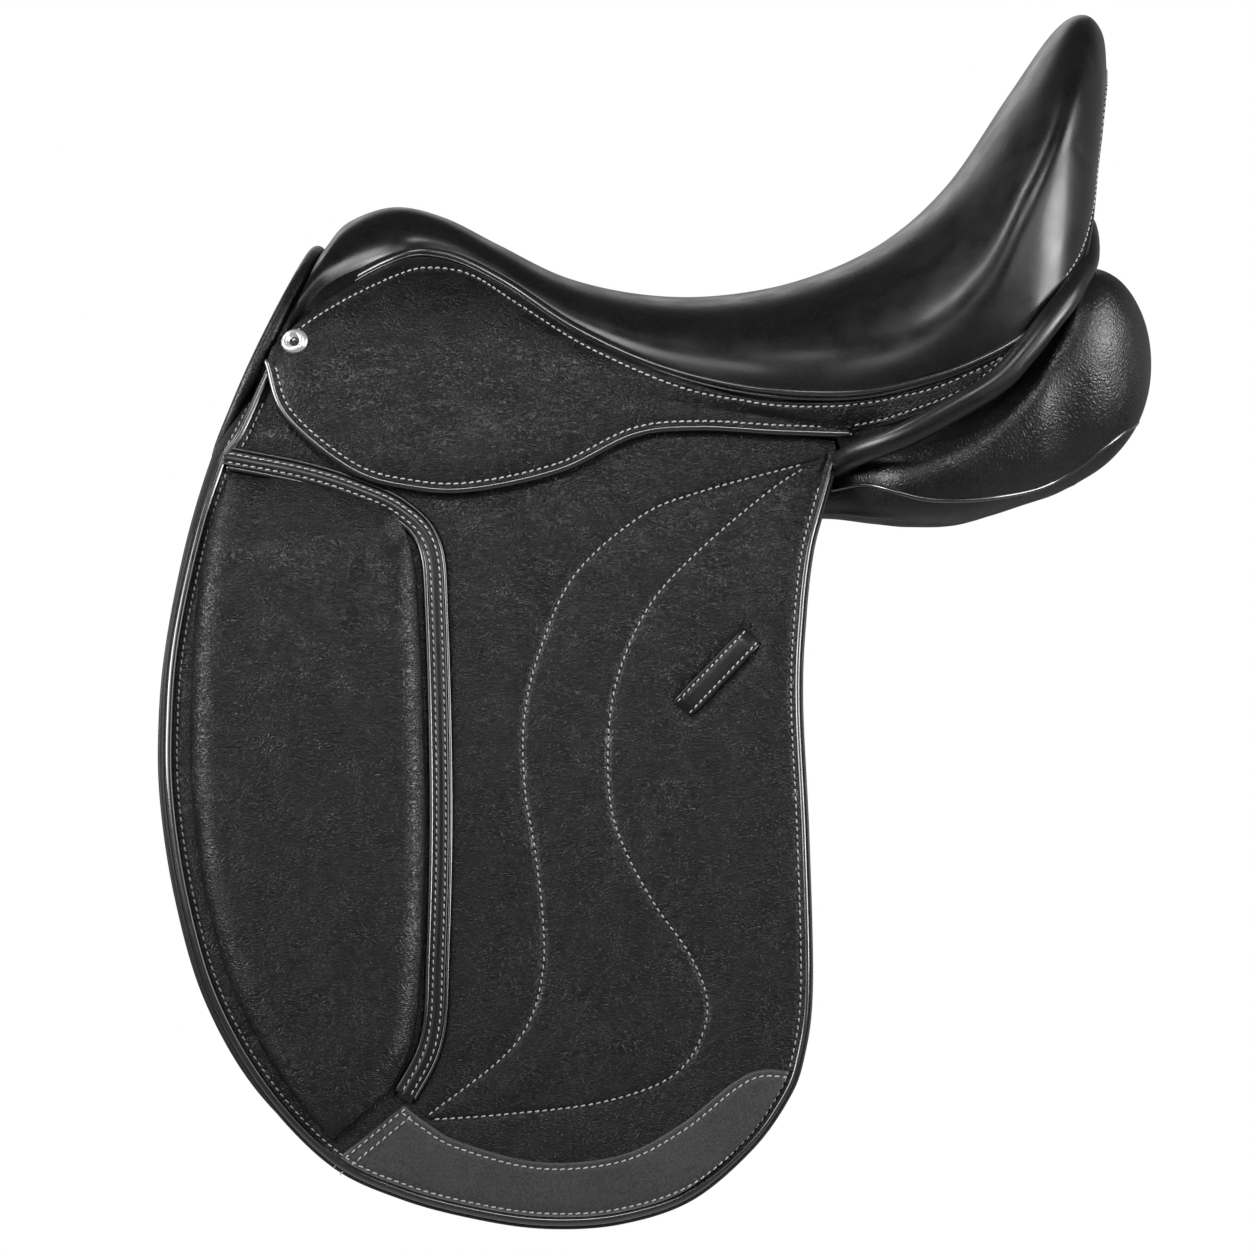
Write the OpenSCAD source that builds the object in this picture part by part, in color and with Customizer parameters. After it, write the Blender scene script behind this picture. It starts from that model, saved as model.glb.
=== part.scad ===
// Dressage saddle on a sprung wooden tree, about 17.5 inch seat, long straight flaps.
// Millimetres. The horse faces -X, +Z is up and the saddle is symmetric about y = 0.
// The origin is the top of the gullet channel below the deepest part of the seat.

/* [Seat] */
// Thickness of the seat leather
cover_t = 3; // [2:0.5:4]
// Thickness of the seat foam
foam_t = 20; // [14:1:22]
// Thickness of the woven seat webs
web_t = 2; // [1.5:0.5:3]
// Width of one seat web
web_w = 40; // [25:5:50]
// Diameter of the piped welt between seat and skirt
welt_d = 4; // [3:0.5:6]
// Height of the cantle above the gullet channel
cantle_h = 199.5; // [180:0.5:210]
// Height of the pommel above the gullet channel
pommel_h = 98.5; // [92:0.5:106]

/* [Tree] */
// Thickness of the laminated tree
tree_t = 12; // [8:1:14]
// Length of the tree head along the horse
head_l = 44; // [34:1:50]
// Thickness of the wooden tree head
head_t = 12; // [9:1:14]
// Thickness of the steel plates on the tree head
plate_t = 2.5; // [1.5:0.5:3]
// Width of one steel tree spring
spring_w = 18; // [12:1:22]
// Thickness of one steel tree spring
spring_t = 2.5; // [1.5:0.5:3]

/* [Stirrup bars] */
// Diameter of a stirrup bar
bar_d = 9; // [7:0.5:10]
// Length of the straight part of a stirrup bar
bar_l = 52; // [44:1:58]
// Length of the thumb catch at the bar's open end
catch_l = 24; // [18:1:30]
// Gap behind the bar for the stirrup leather
bar_gap = 7; // [6:0.5:8]
// Diameter of the catch's hinge pin
catch_pin_d = 3; // [2:0.5:4]

/* [Side sheets] */
// Radius of the curve that the side sheets follow
side_r = 1286; // [1250:1:1330]
// Thickness of the sweat flap
sweat_t = 3.5; // [2.5:0.5:5]
// Thickness of the flap
flap_t = 5; // [3.5:0.5:6]
// Thickness of the skirt
skirt_t = 4.5; // [3:0.5:6]
// Thickness of the sewn-on trim: seam bands and toe patches
trim_t = 1.8; // [1:0.2:2.4]
// Height of the knee pad's crown above the flap
pad_h = 17; // [10:1:24]
// Width of the double-stitched seam band
band_w = 8; // [6:1:12]
// Gap between sheets that move against each other
sheet_gap = 1; // [0.9:0.1:1.5]
// Height of the flap from its hinge line at the rear to its toe
flap_h = 404; // [380:1:430]

/* [Girth straps] */
// Width of one girth strap
billet_w = 28; // [24:1:32]
// Thickness of one girth strap
billet_t = 4.5; // [3.5:0.5:5.5]
// Length of one girth strap below its pivot
billet_l = 350; // [300:5:370]
// Diameter of a punched strap hole
hole_d = 5.2; // [4:0.2:7]
// Pitch of the punched holes
hole_pitch = 25; // [20:1:30]
// Number of punched holes in one strap
hole_n = 6; // [3:1:7]
// Distance between the two straps of one side
billet_gap = 96; // [80:1:110]

/* [Trim] */
// Diameter of the chrome nail head
nail_d = 13.5; // [10:0.5:18]
// Height of the nail head
nail_h = 2.4; // [1.6:0.2:4]
// Diameter of the rolled facing round the back of the seat
roll_d = 13; // [9:0.5:15]
// Diameter of the rolled facing round the front arch
front_roll_d = 8; // [6:0.5:10]
// Length of the keeper strap on the flap
keeper_l = 50; // [40:1:60]
// Width of the keeper strap
keeper_w = 13; // [10:0.5:18]
// Thickness of the keeper strap
keeper_t = 2; // [1.5:0.5:3]

/* [Panels] */
// Width of the gullet channel between the panels
channel_w = 64; // [50:1:80]
// Thickness of the leather that lines the gullet channel
lining_t = 2.4; // [1.6:0.2:3]

/* [Hidden] */
$fn = 48;

leather = [0.06, 0.06, 0.065];
grained = [0.09, 0.09, 0.095];
shiny = [0.14, 0.14, 0.15];
steel = [0.62, 0.63, 0.65];
wood = [0.76, 0.60, 0.40];
webbing = [0.85, 0.82, 0.74];

// Small clearance between pieces of one body that touch, flat and faceted
touch = 0.15;
soft_touch = 0.4;
// Axis of the cylinders that the left side sheets lie on, placed by the half width at z = 0
side_half = 94.3;
side_z = -450;
side_y = sqrt(pow(side_r, 2) - pow(side_z, 2)) - side_half;

// Depth of each sheet outside the sweat flap's inner face
sweat_out = sweat_t;
billet_in = sweat_out + sheet_gap;
billet_out = billet_in + billet_t;
flap_in = billet_out + sheet_gap;
flap_out = flap_in + flap_t;
trim_in = flap_out + touch;
trim_out = trim_in + trim_t;
skirt_in = flap_out + sheet_gap;
skirt_out = skirt_in + skirt_t;

// Curves: Catmull-Rom through hand-chosen points
function spline(a, b, c, d, t) =
    0.5 * (2 * b + (c - a) * t + (2 * a - 5 * b + 4 * c - d) * t * t + (3 * b - a - 3 * c + d) * t * t * t);
function along(p, s) =
    let (
        n = len(p) - 1,
        k = max(0, min(n - 1, floor(s))),
        before = k > 0 ? p[k - 1] : 2 * p[0] - p[1],
        after = k + 2 > n ? 2 * p[n] - p[n - 1] : p[k + 2])
    spline(before, p[k], p[k + 1], after, s - k);
function curve(p, steps) = [for (i = [0 : (len(p) - 1) * steps]) along(p, i / steps)];
function unit(v) = v / norm(v);
function flat(rows) = [for (row = rows) each row];
function reversed(list) = [for (i = [len(list) - 1 : -1 : 0]) list[i]];
function tangent(p, i) = unit(p[min(i + 1, len(p) - 1)] - p[max(i - 1, 0)]);

// A point on the left side at depth d outside the sweat flap's inner face
function side_point(x, z, d) = [x, side_y - sqrt(pow(side_r + d, 2) - pow(z - side_z, 2)), z];

// A closed solid between two grids of points of the same shape
module slab(outer, inner, flip = false) {
    n = len(outer);
    m = len(outer[0]);
    k = n * m;
    top = [for (i = [0 : n - 2], j = [0 : m - 2]) each [
        [i * m + j, i * m + j + 1, (i + 1) * m + j + 1],
        [i * m + j, (i + 1) * m + j + 1, (i + 1) * m + j]]];
    bottom = [for (f = top) [f[0] + k, f[2] + k, f[1] + k]];
    rim = concat(
        [for (j = [0 : m - 1]) j],
        [for (i = [1 : n - 1]) i * m + m - 1],
        [for (j = [m - 2 : -1 : 0]) (n - 1) * m + j],
        [for (i = [n - 2 : -1 : 1]) i * m]);
    wall = [for (i = [0 : len(rim) - 1]) let (a = rim[i], b = rim[(i + 1) % len(rim)]) each [
        [a, a + k, b + k], [a, b + k, b]]];
    // This order lets the STEP writer tell the solid's inside from its outside
    faces = concat(reversed(bottom), wall, top);
    polyhedron(
        points = concat(flat(outer), flat(inner)),
        faces = flip ? [for (f = faces) reversed(f)] : faces,
        convexity = 8);
}

// A closed solid through rings of points, with flat ends
module loft(rings, flip = false) {
    n = len(rings);
    m = len(rings[0]);
    side = [for (i = [0 : n - 2], j = [0 : m - 1]) let (q = (j + 1) % m) each [
        [i * m + j, i * m + q, (i + 1) * m + q],
        [i * m + j, (i + 1) * m + q, (i + 1) * m + j]]];
    ends = [for (j = [1 : m - 2]) each [
        [0, j + 1, j], [(n - 1) * m, (n - 1) * m + j, (n - 1) * m + j + 1]]];
    faces = concat(side, ends);
    polyhedron(points = flat(rings), faces = flip ? [for (f = faces) reversed(f)] : faces, convexity = 8);
}

// A round tube along a path, drawn with the given number of sides
module tube(path, d, sides = 8) {
    up = [0.13, 0.21, 0.97];
    loft([for (i = [0 : len(path) - 1])
        let (t = tangent(path, i), u = unit(cross(t, up)), v = cross(u, t))
        [for (j = [0 : sides - 1]) let (a = j * 360 / sides) path[i] + d / 2 * (cos(a) * u + sin(a) * v)]]);
}

// The left-hand shape as it is, or its mirror image on the right
module on_side(side) {
    if (side == "left") children();
    else mirror([0, 1, 0]) children();
}

// A sheet between two depths, cut to an outline drawn in the x-z plane
sheet_reach = 350;
module sheet(depth_in, depth_out) {
    intersection() {
        translate([-sheet_reach, side_y, side_z]) rotate([0, 90, 0]) difference() {
            cylinder(r = side_r + depth_out, h = 2 * sheet_reach, $fn = 1440);
            translate([0, 0, -1]) cylinder(r = side_r + depth_in, h = 2 * sheet_reach + 2, $fn = 1440);
        }
        rotate([90, 0, 0]) linear_extrude(height = 300) children();
    }
}

// Seat form. Each rib runs from a point on the centre line to the seam with the skirt.
// Centre line of the seat, front to back: x and z
top_line = [
    [-186, pommel_h - 22], [-174, pommel_h - 8], [-150, pommel_h], [-124, pommel_h - 5.5], [-95, 78.5],
    [-60, 61.5], [-20, 52.5], [20, 51.8], [63, 60], [105, 79], [140, cantle_h - 89.5],
    [172, cantle_h - 42.5], [196, cantle_h - 8.5], [211, cantle_h], [221, cantle_h - 9.5],
    [223.5, cantle_h - 30]];
// Seam line at the seat's edge on the left, front to back
seam_line = [
    [-206, -105, 23], [-184, -74, 49], [-148, -44, 71], [-122, -44, 72], [-92, -57, 58],
    [-55, -80, 33], [-10, -105, 12], [40, -124, 0], [90, -134, -2], [130, -141, 6],
    [158, -142, 17], [176, -138, 28], [192, -128, 41], [204, -112, 59], [212, -90, 88],
    [217, -58, 128]];
// Points inside the seat that its layers shrink towards: x and z
core_line = [
    [-160, 5], [-158, 15], [-148, 25], [-122, 20], [-92, 5], [-58, -15], [-15, -40], [30, -55],
    [75, -55], [115, -40], [140, -10], [155, 20], [160, 50], [165, 75], [168, 95], [170, 110]];
last_rib = len(seam_line) - 1;
seam_lift = welt_d / 2 + 3 * soft_touch;

// A point on the seat: rib s, u from -1 (left seam) to 1 (right seam), d below the surface
function seat_point(s, u, d) =
    let (
        c = along(top_line, s),
        seam = along(seam_line, s),
        e = seam + seam_lift * unit([c.x, 0, c.y] - seam),
        k = along(core_line, s),
        rise = cos(90 * u),
        p = [e.x + (c.x - e.x) * rise, -e.y * sin(90 * u), e.z + (c.y - e.z) * rise])
    p + d * unit([k.x, 0, k.y] - p);
function seat_grid(s0, s1, rows, u0, u1, cols, d) = [
    for (i = [0 : rows]) [for (j = [0 : cols])
        seat_point(s0 + (s1 - s0) * i / rows, u0 + (u1 - u0) * j / cols, d)]];
module seat_layer(s0, s1, rows, u0, u1, cols, d0, d1) {
    slab(seat_grid(s0, s1, rows, u0, u1, cols, d0), seat_grid(s0, s1, rows, u0, u1, cols, d1));
}

foam_in = cover_t + soft_touch;
foam_out = foam_in + foam_t;
web_in = foam_out + soft_touch;
cross_web_in = web_in + web_t + soft_touch;
tree_in = cross_web_in + web_t + soft_touch;
tree_out = tree_in + tree_t;
spring_in = tree_out + 2 * soft_touch;

module seat_cover() {
    color(shiny) seat_layer(0, last_rib, 30, -1, 1, 16, 0, cover_t);
}

module seat_foam() {
    color(webbing) seat_layer(3.5, 13.5, 20, -0.75, 0.75, 12, foam_in, foam_out);
}

// Two long webs from the head to the cantle
module seat_web_long() {
    near = 0.125;
    far = near + web_w / 160;
    for (edge = [-far, near])
        color(webbing) seat_layer(3.5, 11, 15, edge, edge + far - near, 2, web_in, web_in + web_t);
}

// Two webs across the tree at the deepest part of the seat
module seat_web_cross() {
    span = web_w / 40;
    for (s = [5.5, 7])
        color(webbing) seat_layer(s, s + span, 2, -0.75, 0.75, 12, cross_web_in, cross_web_in + web_t);
}

module seat_welt(side) {
    path = [for (i = [0 : 2 * last_root]) along(seam_line, i / 2)];
    color(shiny) on_side(side) tube(path, welt_d);
}

// Tree: two sprung rails and the cantle, under the webs
rail_u0 = 0.5;
rail_u1 = 0.75;
rail_s0 = 3.5;
rail_s1 = 10.5;
rail_steps = 14;
cantle_s1 = 13.5;
module tree_rail(side) {
    color(wood) on_side(side)
        seat_layer(rail_s0, rail_s1, rail_steps, -rail_u1, -rail_u0, 2, tree_in, tree_out);
}

module tree_cantle() {
    color(wood) seat_layer(rail_s1 + 0.02, cantle_s1, 6, -rail_u1, rail_u1, 12, tree_in, tree_out);
}

// Steel springs along the underside of the rails
module tree_spring(side) {
    mid_u = (rail_u0 + rail_u1) / 2;
    half = spring_w / 240;
    spring_out = spring_in + spring_t;
    color(steel) on_side(side)
        seat_layer(rail_s0 + 0.2, rail_s1 + 1, rail_steps, -mid_u - half, -mid_u + half, 1,
            spring_in, spring_out);
}

// Tree head: an arch over the withers, with a point down each side
head_x = -143;
// Outer line of the head's steel plate, from the crown down the left point: y and z
arch_line = [[0, pommel_h - 8.5], [-19, pommel_h - 13], [-33, pommel_h - 25], [-46, pommel_h - 41],
    [-60, 42], [-72.4, 21.5], [-80.6, 0], [-86.5, -22], [-90.5, -44]];
function inset(p, d) = [for (i = [0 : len(p) - 1]) let (t = tangent(p, i)) p[i] + d * [-t.y, t.x]];
function arch(d) =
    let (half = inset(curve(arch_line, 3), d), left = [for (q = half) [min(q.x, 0), q.y]])
    concat(reversed(left), [for (i = [1 : len(left) - 1]) [-left[i].x, left[i].y]]);
module arch_band(d0, d1, length, points_up = 0) {
    trimmed = curve(arch_line, 3);
    translate([head_x - length / 2, 0, 0]) rotate([90, 0, 90]) linear_extrude(height = length)
        difference() {
            polygon(concat(arch(d0), reversed(arch(d1))));
            translate([-150, -100]) square([300, 100 + trimmed[len(trimmed) - 1].y + points_up]);
        }
}
head_in = plate_t + touch;
gullet_in = head_in + head_t + touch;

module tree_head() {
    color(wood) arch_band(head_in, head_in + head_t, head_l);
}

module head_plate() {
    color(steel) arch_band(0, plate_t, head_l - 10, 60);
}

module gullet_plate() {
    color(steel) arch_band(gullet_in, gullet_in + plate_t, head_l - 6, 24);
}

// Leather under the arch, next to the horse's withers
module arch_lining() {
    lining_in = gullet_in + plate_t + touch;
    color(leather) arch_band(lining_in, lining_in + lining_t, head_l + 12);
}

// Stirrup bar, drawn with its straight bar on the x axis and the tree in the +y direction
bar_start = [-160, -89.5, 22];
bar_lean = 21;
bar_plate_t = 4;
bar_plate_h = 26;
bar_neck = 12;
bar_face = bar_d / 2 + bar_gap;
catch_d = bar_d - 0.6;
catch_joint = catch_l / 3;
run_gap = 0.3;
pin_gap = 0.05;
module bar_frame(side) {
    on_side(side) translate(bar_start) rotate([-bar_lean, 0, 0]) children();
}

module catch_axle(d, length) {
    translate([bar_l - catch_joint / 2, 0, 0]) rotate([90, 0, 0])
        cylinder(d = d, h = length, center = true);
}

module stirrup_bar(side) {
    color(steel) bar_frame(side) difference() {
        union() {
            rotate([0, 90, 0]) cylinder(d = bar_d, h = bar_l);
            translate([-bar_neck, -bar_d / 2, -bar_d / 2]) cube([bar_neck, bar_face + bar_d / 2, bar_d]);
            translate([-bar_neck, bar_face, -bar_plate_h / 2]) cube([bar_l, bar_plate_t, bar_plate_h]);
        }
        translate([bar_l - catch_joint, -bar_d / 6 - run_gap, -bar_d])
            cube([bar_l, bar_d / 3 + 2 * run_gap, 2 * bar_d]);
        catch_axle(catch_pin_d + 2 * pin_gap, bar_d + 2);
    }
}

// Thumb catch: a tongue between the bar's two cheeks and a round nose in line with the bar
module bar_catch(side) {
    color(steel) bar_frame(side) difference() {
        union() {
            intersection() {
                union() {
                    catch_axle(catch_joint - 2 * run_gap, bar_d / 3);
                    translate([bar_l - catch_joint / 2, -bar_d / 6, -catch_joint / 2 + run_gap])
                        cube([catch_joint + 1, bar_d / 3, catch_joint - 2 * run_gap]);
                }
                rotate([0, 90, 0]) cylinder(d = catch_d, h = 2 * bar_l);
            }
            translate([bar_l + catch_joint / 2, 0, 0]) rotate([0, 90, 0])
                cylinder(d = catch_d, h = catch_l - catch_joint);
        }
        catch_axle(catch_pin_d + 2 * pin_gap, bar_d + 2);
    }
}

module catch_pin(side) {
    color(steel) bar_frame(side) catch_axle(catch_pin_d, bar_d - 1.4);
}

// Rivet heads on the bar plates, one above the other at each end of a plate
module tree_rivets() {
    rivet_d = 7;
    rivet_h = 2;
    rivet_edge = 8;
    head = [[0, 0], [rivet_d / 2, 0], [rivet_d / 2.6, rivet_h * 0.7], [rivet_d / 5, rivet_h], [0, rivet_h]];
    ends = [rivet_edge - bar_neck, bar_l - bar_neck - rivet_edge];
    for (side = ["left", "right"], x = ends, z = [-1, 1] * bar_plate_h / 3.2)
        color(steel) bar_frame(side) translate([x, bar_face - touch, z]) rotate([90, 0, 0])
            rotate_extrude() polygon(head);
}

// Hinge line of the skirt and flap on the skirt's outer face: x and z
hinge_front = [-208, 20];
hinge_back = [88, -21];
function hinge_z(x) =
    hinge_front.y + (hinge_back.y - hinge_front.y) * (x - hinge_front.x) / (hinge_back.x - hinge_front.x);
function hinge_point(x) =
    let (
        a = side_point(hinge_front.x, hinge_front.y, skirt_out),
        b = side_point(hinge_back.x, hinge_back.y, skirt_out))
    a + (b - a) * (x - a.x) / (b.x - a.x);

// Fixed upper skirt from the welt to the hinge line, with a tail along the seat's edge
root_gap = 0.35;
root_x = [-206, -186, -152, -124, -95, -60, -12, 40, 86];
tail_line = [[118, -136, -11], [148, -141, 4], [173, -139.5, 23.5]];
root_edge = concat([for (x = root_x) hinge_point(x) + [0, 0, root_gap]], tail_line);
root_bulge = [0, 8, 12, 12, 12, 10, 6, 2.5, 1, 0.5, 0.3, 0];
last_root = len(root_edge) - 1;
function root_point(s, v, d) =
    let (
        seam = along(seam_line, s),
        edge = along(root_edge, s),
        top = seam + (seam_lift + 2.5 * soft_touch) * unit(edge - seam),
        fall = edge - top,
        out = unit([0, fall.z, -fall.y]),
        square_out = unit([0, edge.y - side_y, edge.z - side_z]),
        swell = along(root_bulge, s) * 4 * v * (1 - v))
    top + fall * v + out * swell + unit(out * (1 - v * v) + square_out * v * v) * d;
function root_grid(d) = [for (i = [0 : 2 * last_root]) [for (j = [0 : 5]) root_point(i / 2, j / 5, d)]];

module skirt_root(side) {
    color(grained) on_side(side) slab(root_grid(0), root_grid(-skirt_t), true);
}

// Lifting leaf of the skirt: x and z of its lower edge, front to back
leaf_edge = [
    [-209, 12], [-201, -16], [-169, -42], [-138, -51], [-107, -52], [-62, -42], [-24, -22], [2, -15.5]];
leaf_rear = 8;
leaf_top_gap = 2;
module skirt(side) {
    edge = curve(leaf_edge, 4);
    top = [for (x = [leaf_rear, hinge_front.x + 1]) [x, hinge_z(x) - leaf_top_gap]];
    color(grained) on_side(side) sheet(skirt_in, skirt_out) polygon(concat(edge, top));
}

// Chrome nail with a shallow socket, at the front corner of the skirt
nail_s = 0.42;
nail_v = 0.6;
nail_lift = 0.9;
module nail(side) {
    p = root_point(nail_s, nail_v, 0);
    a = root_point(nail_s + 0.1, nail_v, 0) - p;
    b = root_point(nail_s, nail_v + 0.1, 0) - p;
    n = unit(cross(b, a));
    socket_d = nail_d / 3;
    head = [[0, 0], [nail_d / 2, 0], [nail_d / 2, nail_h * 0.45], [nail_d * 0.43, nail_h * 0.85],
        [nail_d * 0.34, nail_h], [0, nail_h]];
    color("silver") on_side(side) translate(p + n * nail_lift) rotate([0, acos(n.z), atan2(n.y, n.x)])
        difference() {
            rotate_extrude() polygon(head);
            translate([0, 0, nail_h * 0.6]) cylinder(d = socket_d, h = nail_h);
        }
}

// Flap outlines: x, and the share of flap_h below the hinge line's rear end
function flap_z(share) = hinge_back.y - share * flap_h;
function flap_pts(list) = [for (p = list) [p.x, flap_z(p.y)]];
flap_top_gap = 7;
flap_edge = [
    [-213, -0.085], [-228, 0], [-238, 0.04], [-250, 0.141], [-260, 0.266], [-263, 0.366], [-262, 0.468],
    [-254, 0.592], [-239, 0.717], [-213, 0.829], [-178, 0.92], [-142, 0.963], [-102, 0.989], [-67, 1],
    [-31, 0.994], [4, 0.965], [34, 0.903], [52, 0.842], [60, 0.791], [64.5, 0.703], [63, 0.517],
    [60, 0.342], [62, 0.235], [66, 0.153], [73, 0.089], [80, 0.03]];
module flap_outline() {
    top = [for (x = [80, -212]) [x, hinge_z(x) - flap_top_gap]];
    polygon(concat(curve(flap_pts(flap_edge), 3), top));
}

// Keeper on the flap for the end of the stirrup leather, over a window in the flap
keeper_at = [18, 0.307];
keeper_turn = 46;
window_l = keeper_l - 14;
window_w = keeper_w + 6;
// A rectangle with rounded corners
corners = [[1, 1, 0], [-1, 1, 90], [-1, -1, 180], [1, -1, 270]];
function stadium(l, w, r) = [for (c = corners, a = [0 : 15 : 90])
    [c.x * (l / 2 - r) + r * cos(a + c.z), c.y * (w / 2 - r) + r * sin(a + c.z)]];
module on_keeper() {
    translate([keeper_at.x, flap_z(keeper_at.y)]) rotate(keeper_turn) children();
}

module flap(side) {
    color(grained) on_side(side) sheet(flap_in, flap_out) difference() {
        flap_outline();
        on_keeper() polygon(stadium(window_l, window_w, 4));
    }
}

module keeper(side) {
    color(leather) on_side(side) sheet(trim_in, trim_in + keeper_t)
        on_keeper() polygon(stadium(keeper_l, keeper_w, 2));
}

// Double-stitched band round the knee pad
band_line = [[-232, 0.036], [-195, 0.055], [-144, 0.103], [-128, 0.146], [-124.5, 0.241], [-122, 0.467],
    [-123.5, 0.653], [-127, 0.767], [-141, 0.842]];
module seam_band(side) {
    mid = curve(flap_pts(band_line), 4);
    color(leather) on_side(side) sheet(trim_in, trim_out)
        polygon(concat(inset(mid, band_w / 2), reversed(inset(mid, -band_w / 2))));
}

// Knee pad: a crowned cushion between its front and rear edges
pad_front = [[-232, 0.06], [-242, 0.125], [-248.5, 0.24], [-250.5, 0.366], [-249, 0.467], [-241.5, 0.592],
    [-226, 0.715], [-203, 0.815], [-184, 0.873], [-171, 0.9]];
pad_rear = [[-141, 0.128], [-136.5, 0.172], [-133, 0.27], [-131, 0.38], [-130, 0.47], [-130.5, 0.585],
    [-132, 0.68], [-136, 0.765], [-148, 0.832], [-166, 0.888]];
pad_edge_t = 2.5;
function crown(t, power) = 1 - pow(abs(2 * t - 1), power);
function pad_grid(top) = [for (i = [0 : 18]) [for (j = [0 : 10]) let (
    a = along(pad_front, i / 2),
    b = along(pad_rear, i / 2),
    p = a + (b - a) * j / 10,
    swell = top ? pad_edge_t + pad_h * crown(j / 10, 4) * crown(0.02 + 0.96 * i / 18, 6) : 0)
    side_point(p.x, flap_z(p.y), trim_in + swell)]];
module knee_pad(side) {
    color(grained) on_side(side) slab(pad_grid(true), pad_grid(false));
}

// Smooth patch over the flap's toe
patch_edge = [[-182, 0.925], [-142, 0.855], [-130, 0.869], [-112, 0.894], [-72, 0.918], [-31, 0.91],
    [-1, 0.873], [24, 0.822], [40, 0.804], [62, 0.806]];
module toe_patch(side) {
    top = flap_pts(concat([patch_edge[0]], curve([for (i = [1 : len(patch_edge) - 1]) patch_edge[i]], 3)));
    below = [[90, flap_z(0.8)], [90, flap_z(1.05)], [-200, flap_z(1.05)]];
    color(shiny) on_side(side) intersection() {
        sheet(trim_in, trim_out) polygon(concat(top, below));
        rotate([90, 0, 0]) linear_extrude(height = 300) flap_outline();
    }
}

// Sweat flap next to the horse, showing as a narrow edge in front of the flap
sweat_edge = [[-222, -0.065], [-233, -0.01], [-242, 0.037], [-254, 0.141], [-263.5, 0.266], [-267, 0.366],
    [-266, 0.468], [-258, 0.592], [-243, 0.717], [-217, 0.829], [-181, 0.912], [-142, 0.948], [-102, 0.968],
    [-67, 0.978], [-31, 0.97], [0, 0.938], [26, 0.879], [42, 0.82], [50, 0.765], [53, 0.69], [50, 0.342],
    [50, 0.146], [52, 0.04]];
module sweat_flap(side) {
    top = [for (x = [52, -214]) [x, hinge_z(x) - flap_top_gap]];
    color(leather) on_side(side) sheet(0, sweat_out) polygon(concat(curve(flap_pts(sweat_edge), 3), top));
}

// Girth straps hang from a woven web and swing about a pivot at their rounded top end
billet_x = [-98, -98 + billet_gap];
billet_z = -46;
swing_gap = 1.2;
first_hole = 60;
billet_tip = 18;
module billet_outline(x) {
    r = billet_w / 2;
    shoulder = billet_tip - billet_l;
    translate([x, billet_z]) {
        circle(r = r);
        polygon([[-r, 0], [-r, shoulder], [-r / 2, -billet_l], [r / 2, -billet_l], [r, shoulder], [r, 0]]);
    }
}

// A hole drilled square to the sheet at height z
module square_hole(x, z, d) {
    lean = asin((z - side_z) / (side_r + billet_in));
    translate([x, side_y, side_z]) rotate([-lean, 0, 0]) rotate([90, 0, 0])
        translate([0, 0, side_r - 20]) cylinder(d = d, h = 60);
}

module billet(side, x) {
    lowest = billet_z - billet_l + first_hole;
    color(leather) on_side(side) difference() {
        sheet(billet_in, billet_out) billet_outline(x);
        for (i = [0 : hole_n - 1]) square_hole(x, lowest + i * hole_pitch, hole_d);
    }
}

module girth_web(side) {
    reach = billet_w / 2 + 8;
    ends = [billet_x[1] + reach, billet_x[0] - reach];
    top = [for (x = ends) [x, hinge_z(x) - flap_top_gap]];
    color(webbing) on_side(side) sheet(billet_in, billet_out) difference() {
        polygon(concat([[ends[1], billet_z], [ends[0], billet_z]], top));
        for (x = billet_x) {
            translate([x, billet_z]) circle(r = billet_w / 2 + swing_gap);
            translate([x - billet_w / 2 - swing_gap, billet_z - 20]) square([billet_w + 2 * swing_gap, 20]);
        }
    }
}

// Panels: wool-stuffed cushions with an upturned rear end
// x, middle y, middle z, half width, half thickness and tilt of each section
panel_rows = [
    [-214, -104, -85, 20, 5, 68], [-196, -102, -95, 36, 10, 68], [-150, -97, -102, 43, 13, 66],
    [-112, -91, -98, 47, 15, 58], [-60, -86, -64, 44, 18, 46], [0, -72, -42, 38, 21, 33],
    [50, -68, -39, 34, 21, 27], [80, -75, -38, 40, 21, 22], [104, -88, -37, 53, 23, 19],
    [124, -91, -36, 57, 26, 18], [150, -90, -32, 57, 30, 15], [180, -86, -17, 54, 38, 12],
    [205, -80, 5, 48, 46, 8], [224, -75, 15, 41, 40, 5], [238, -71, 14, 30, 24, 2],
    [244, -69, 13, 16, 12, 0]];
panel_roundness = 2.5;
// Channel width at which the sections have the places listed above
listed_channel_w = 64;
function super(c) = sign(c) * pow(abs(c), 2 / panel_roundness);
function panel_ring(r, sides) =
    let (mid_y = r[1] + (listed_channel_w - channel_w) / 2)
    [for (j = [0 : sides - 1]) let (
        a = r[3] * super(cos(j * 360 / sides)),
        b = r[4] * super(sin(j * 360 / sides)))
        [r[0], mid_y + a * cos(r[5]) - b * sin(r[5]), r[2] + a * sin(r[5]) + b * cos(r[5])]];
module panel(side) {
    color(leather) on_side(side) loft([for (r = curve(panel_rows, 2)) panel_ring(r, 18)], true);
}

// Leather strip that closes the top of the gullet channel
// Its underside runs level and turns up behind the cantle: x and z
lining_line = [[-112, 0], [30, 0], [165, 0], [188, 7], [200, 28], [205, 56], [206, 82]];
module gullet_lining() {
    lining_w = channel_w - 4;
    low = curve(lining_line, 4);
    color(leather) translate([0, lining_w / 2, 0]) rotate([90, 0, 0]) linear_extrude(height = lining_w)
        polygon(concat(low, reversed(inset(low, lining_t))));
}

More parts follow.
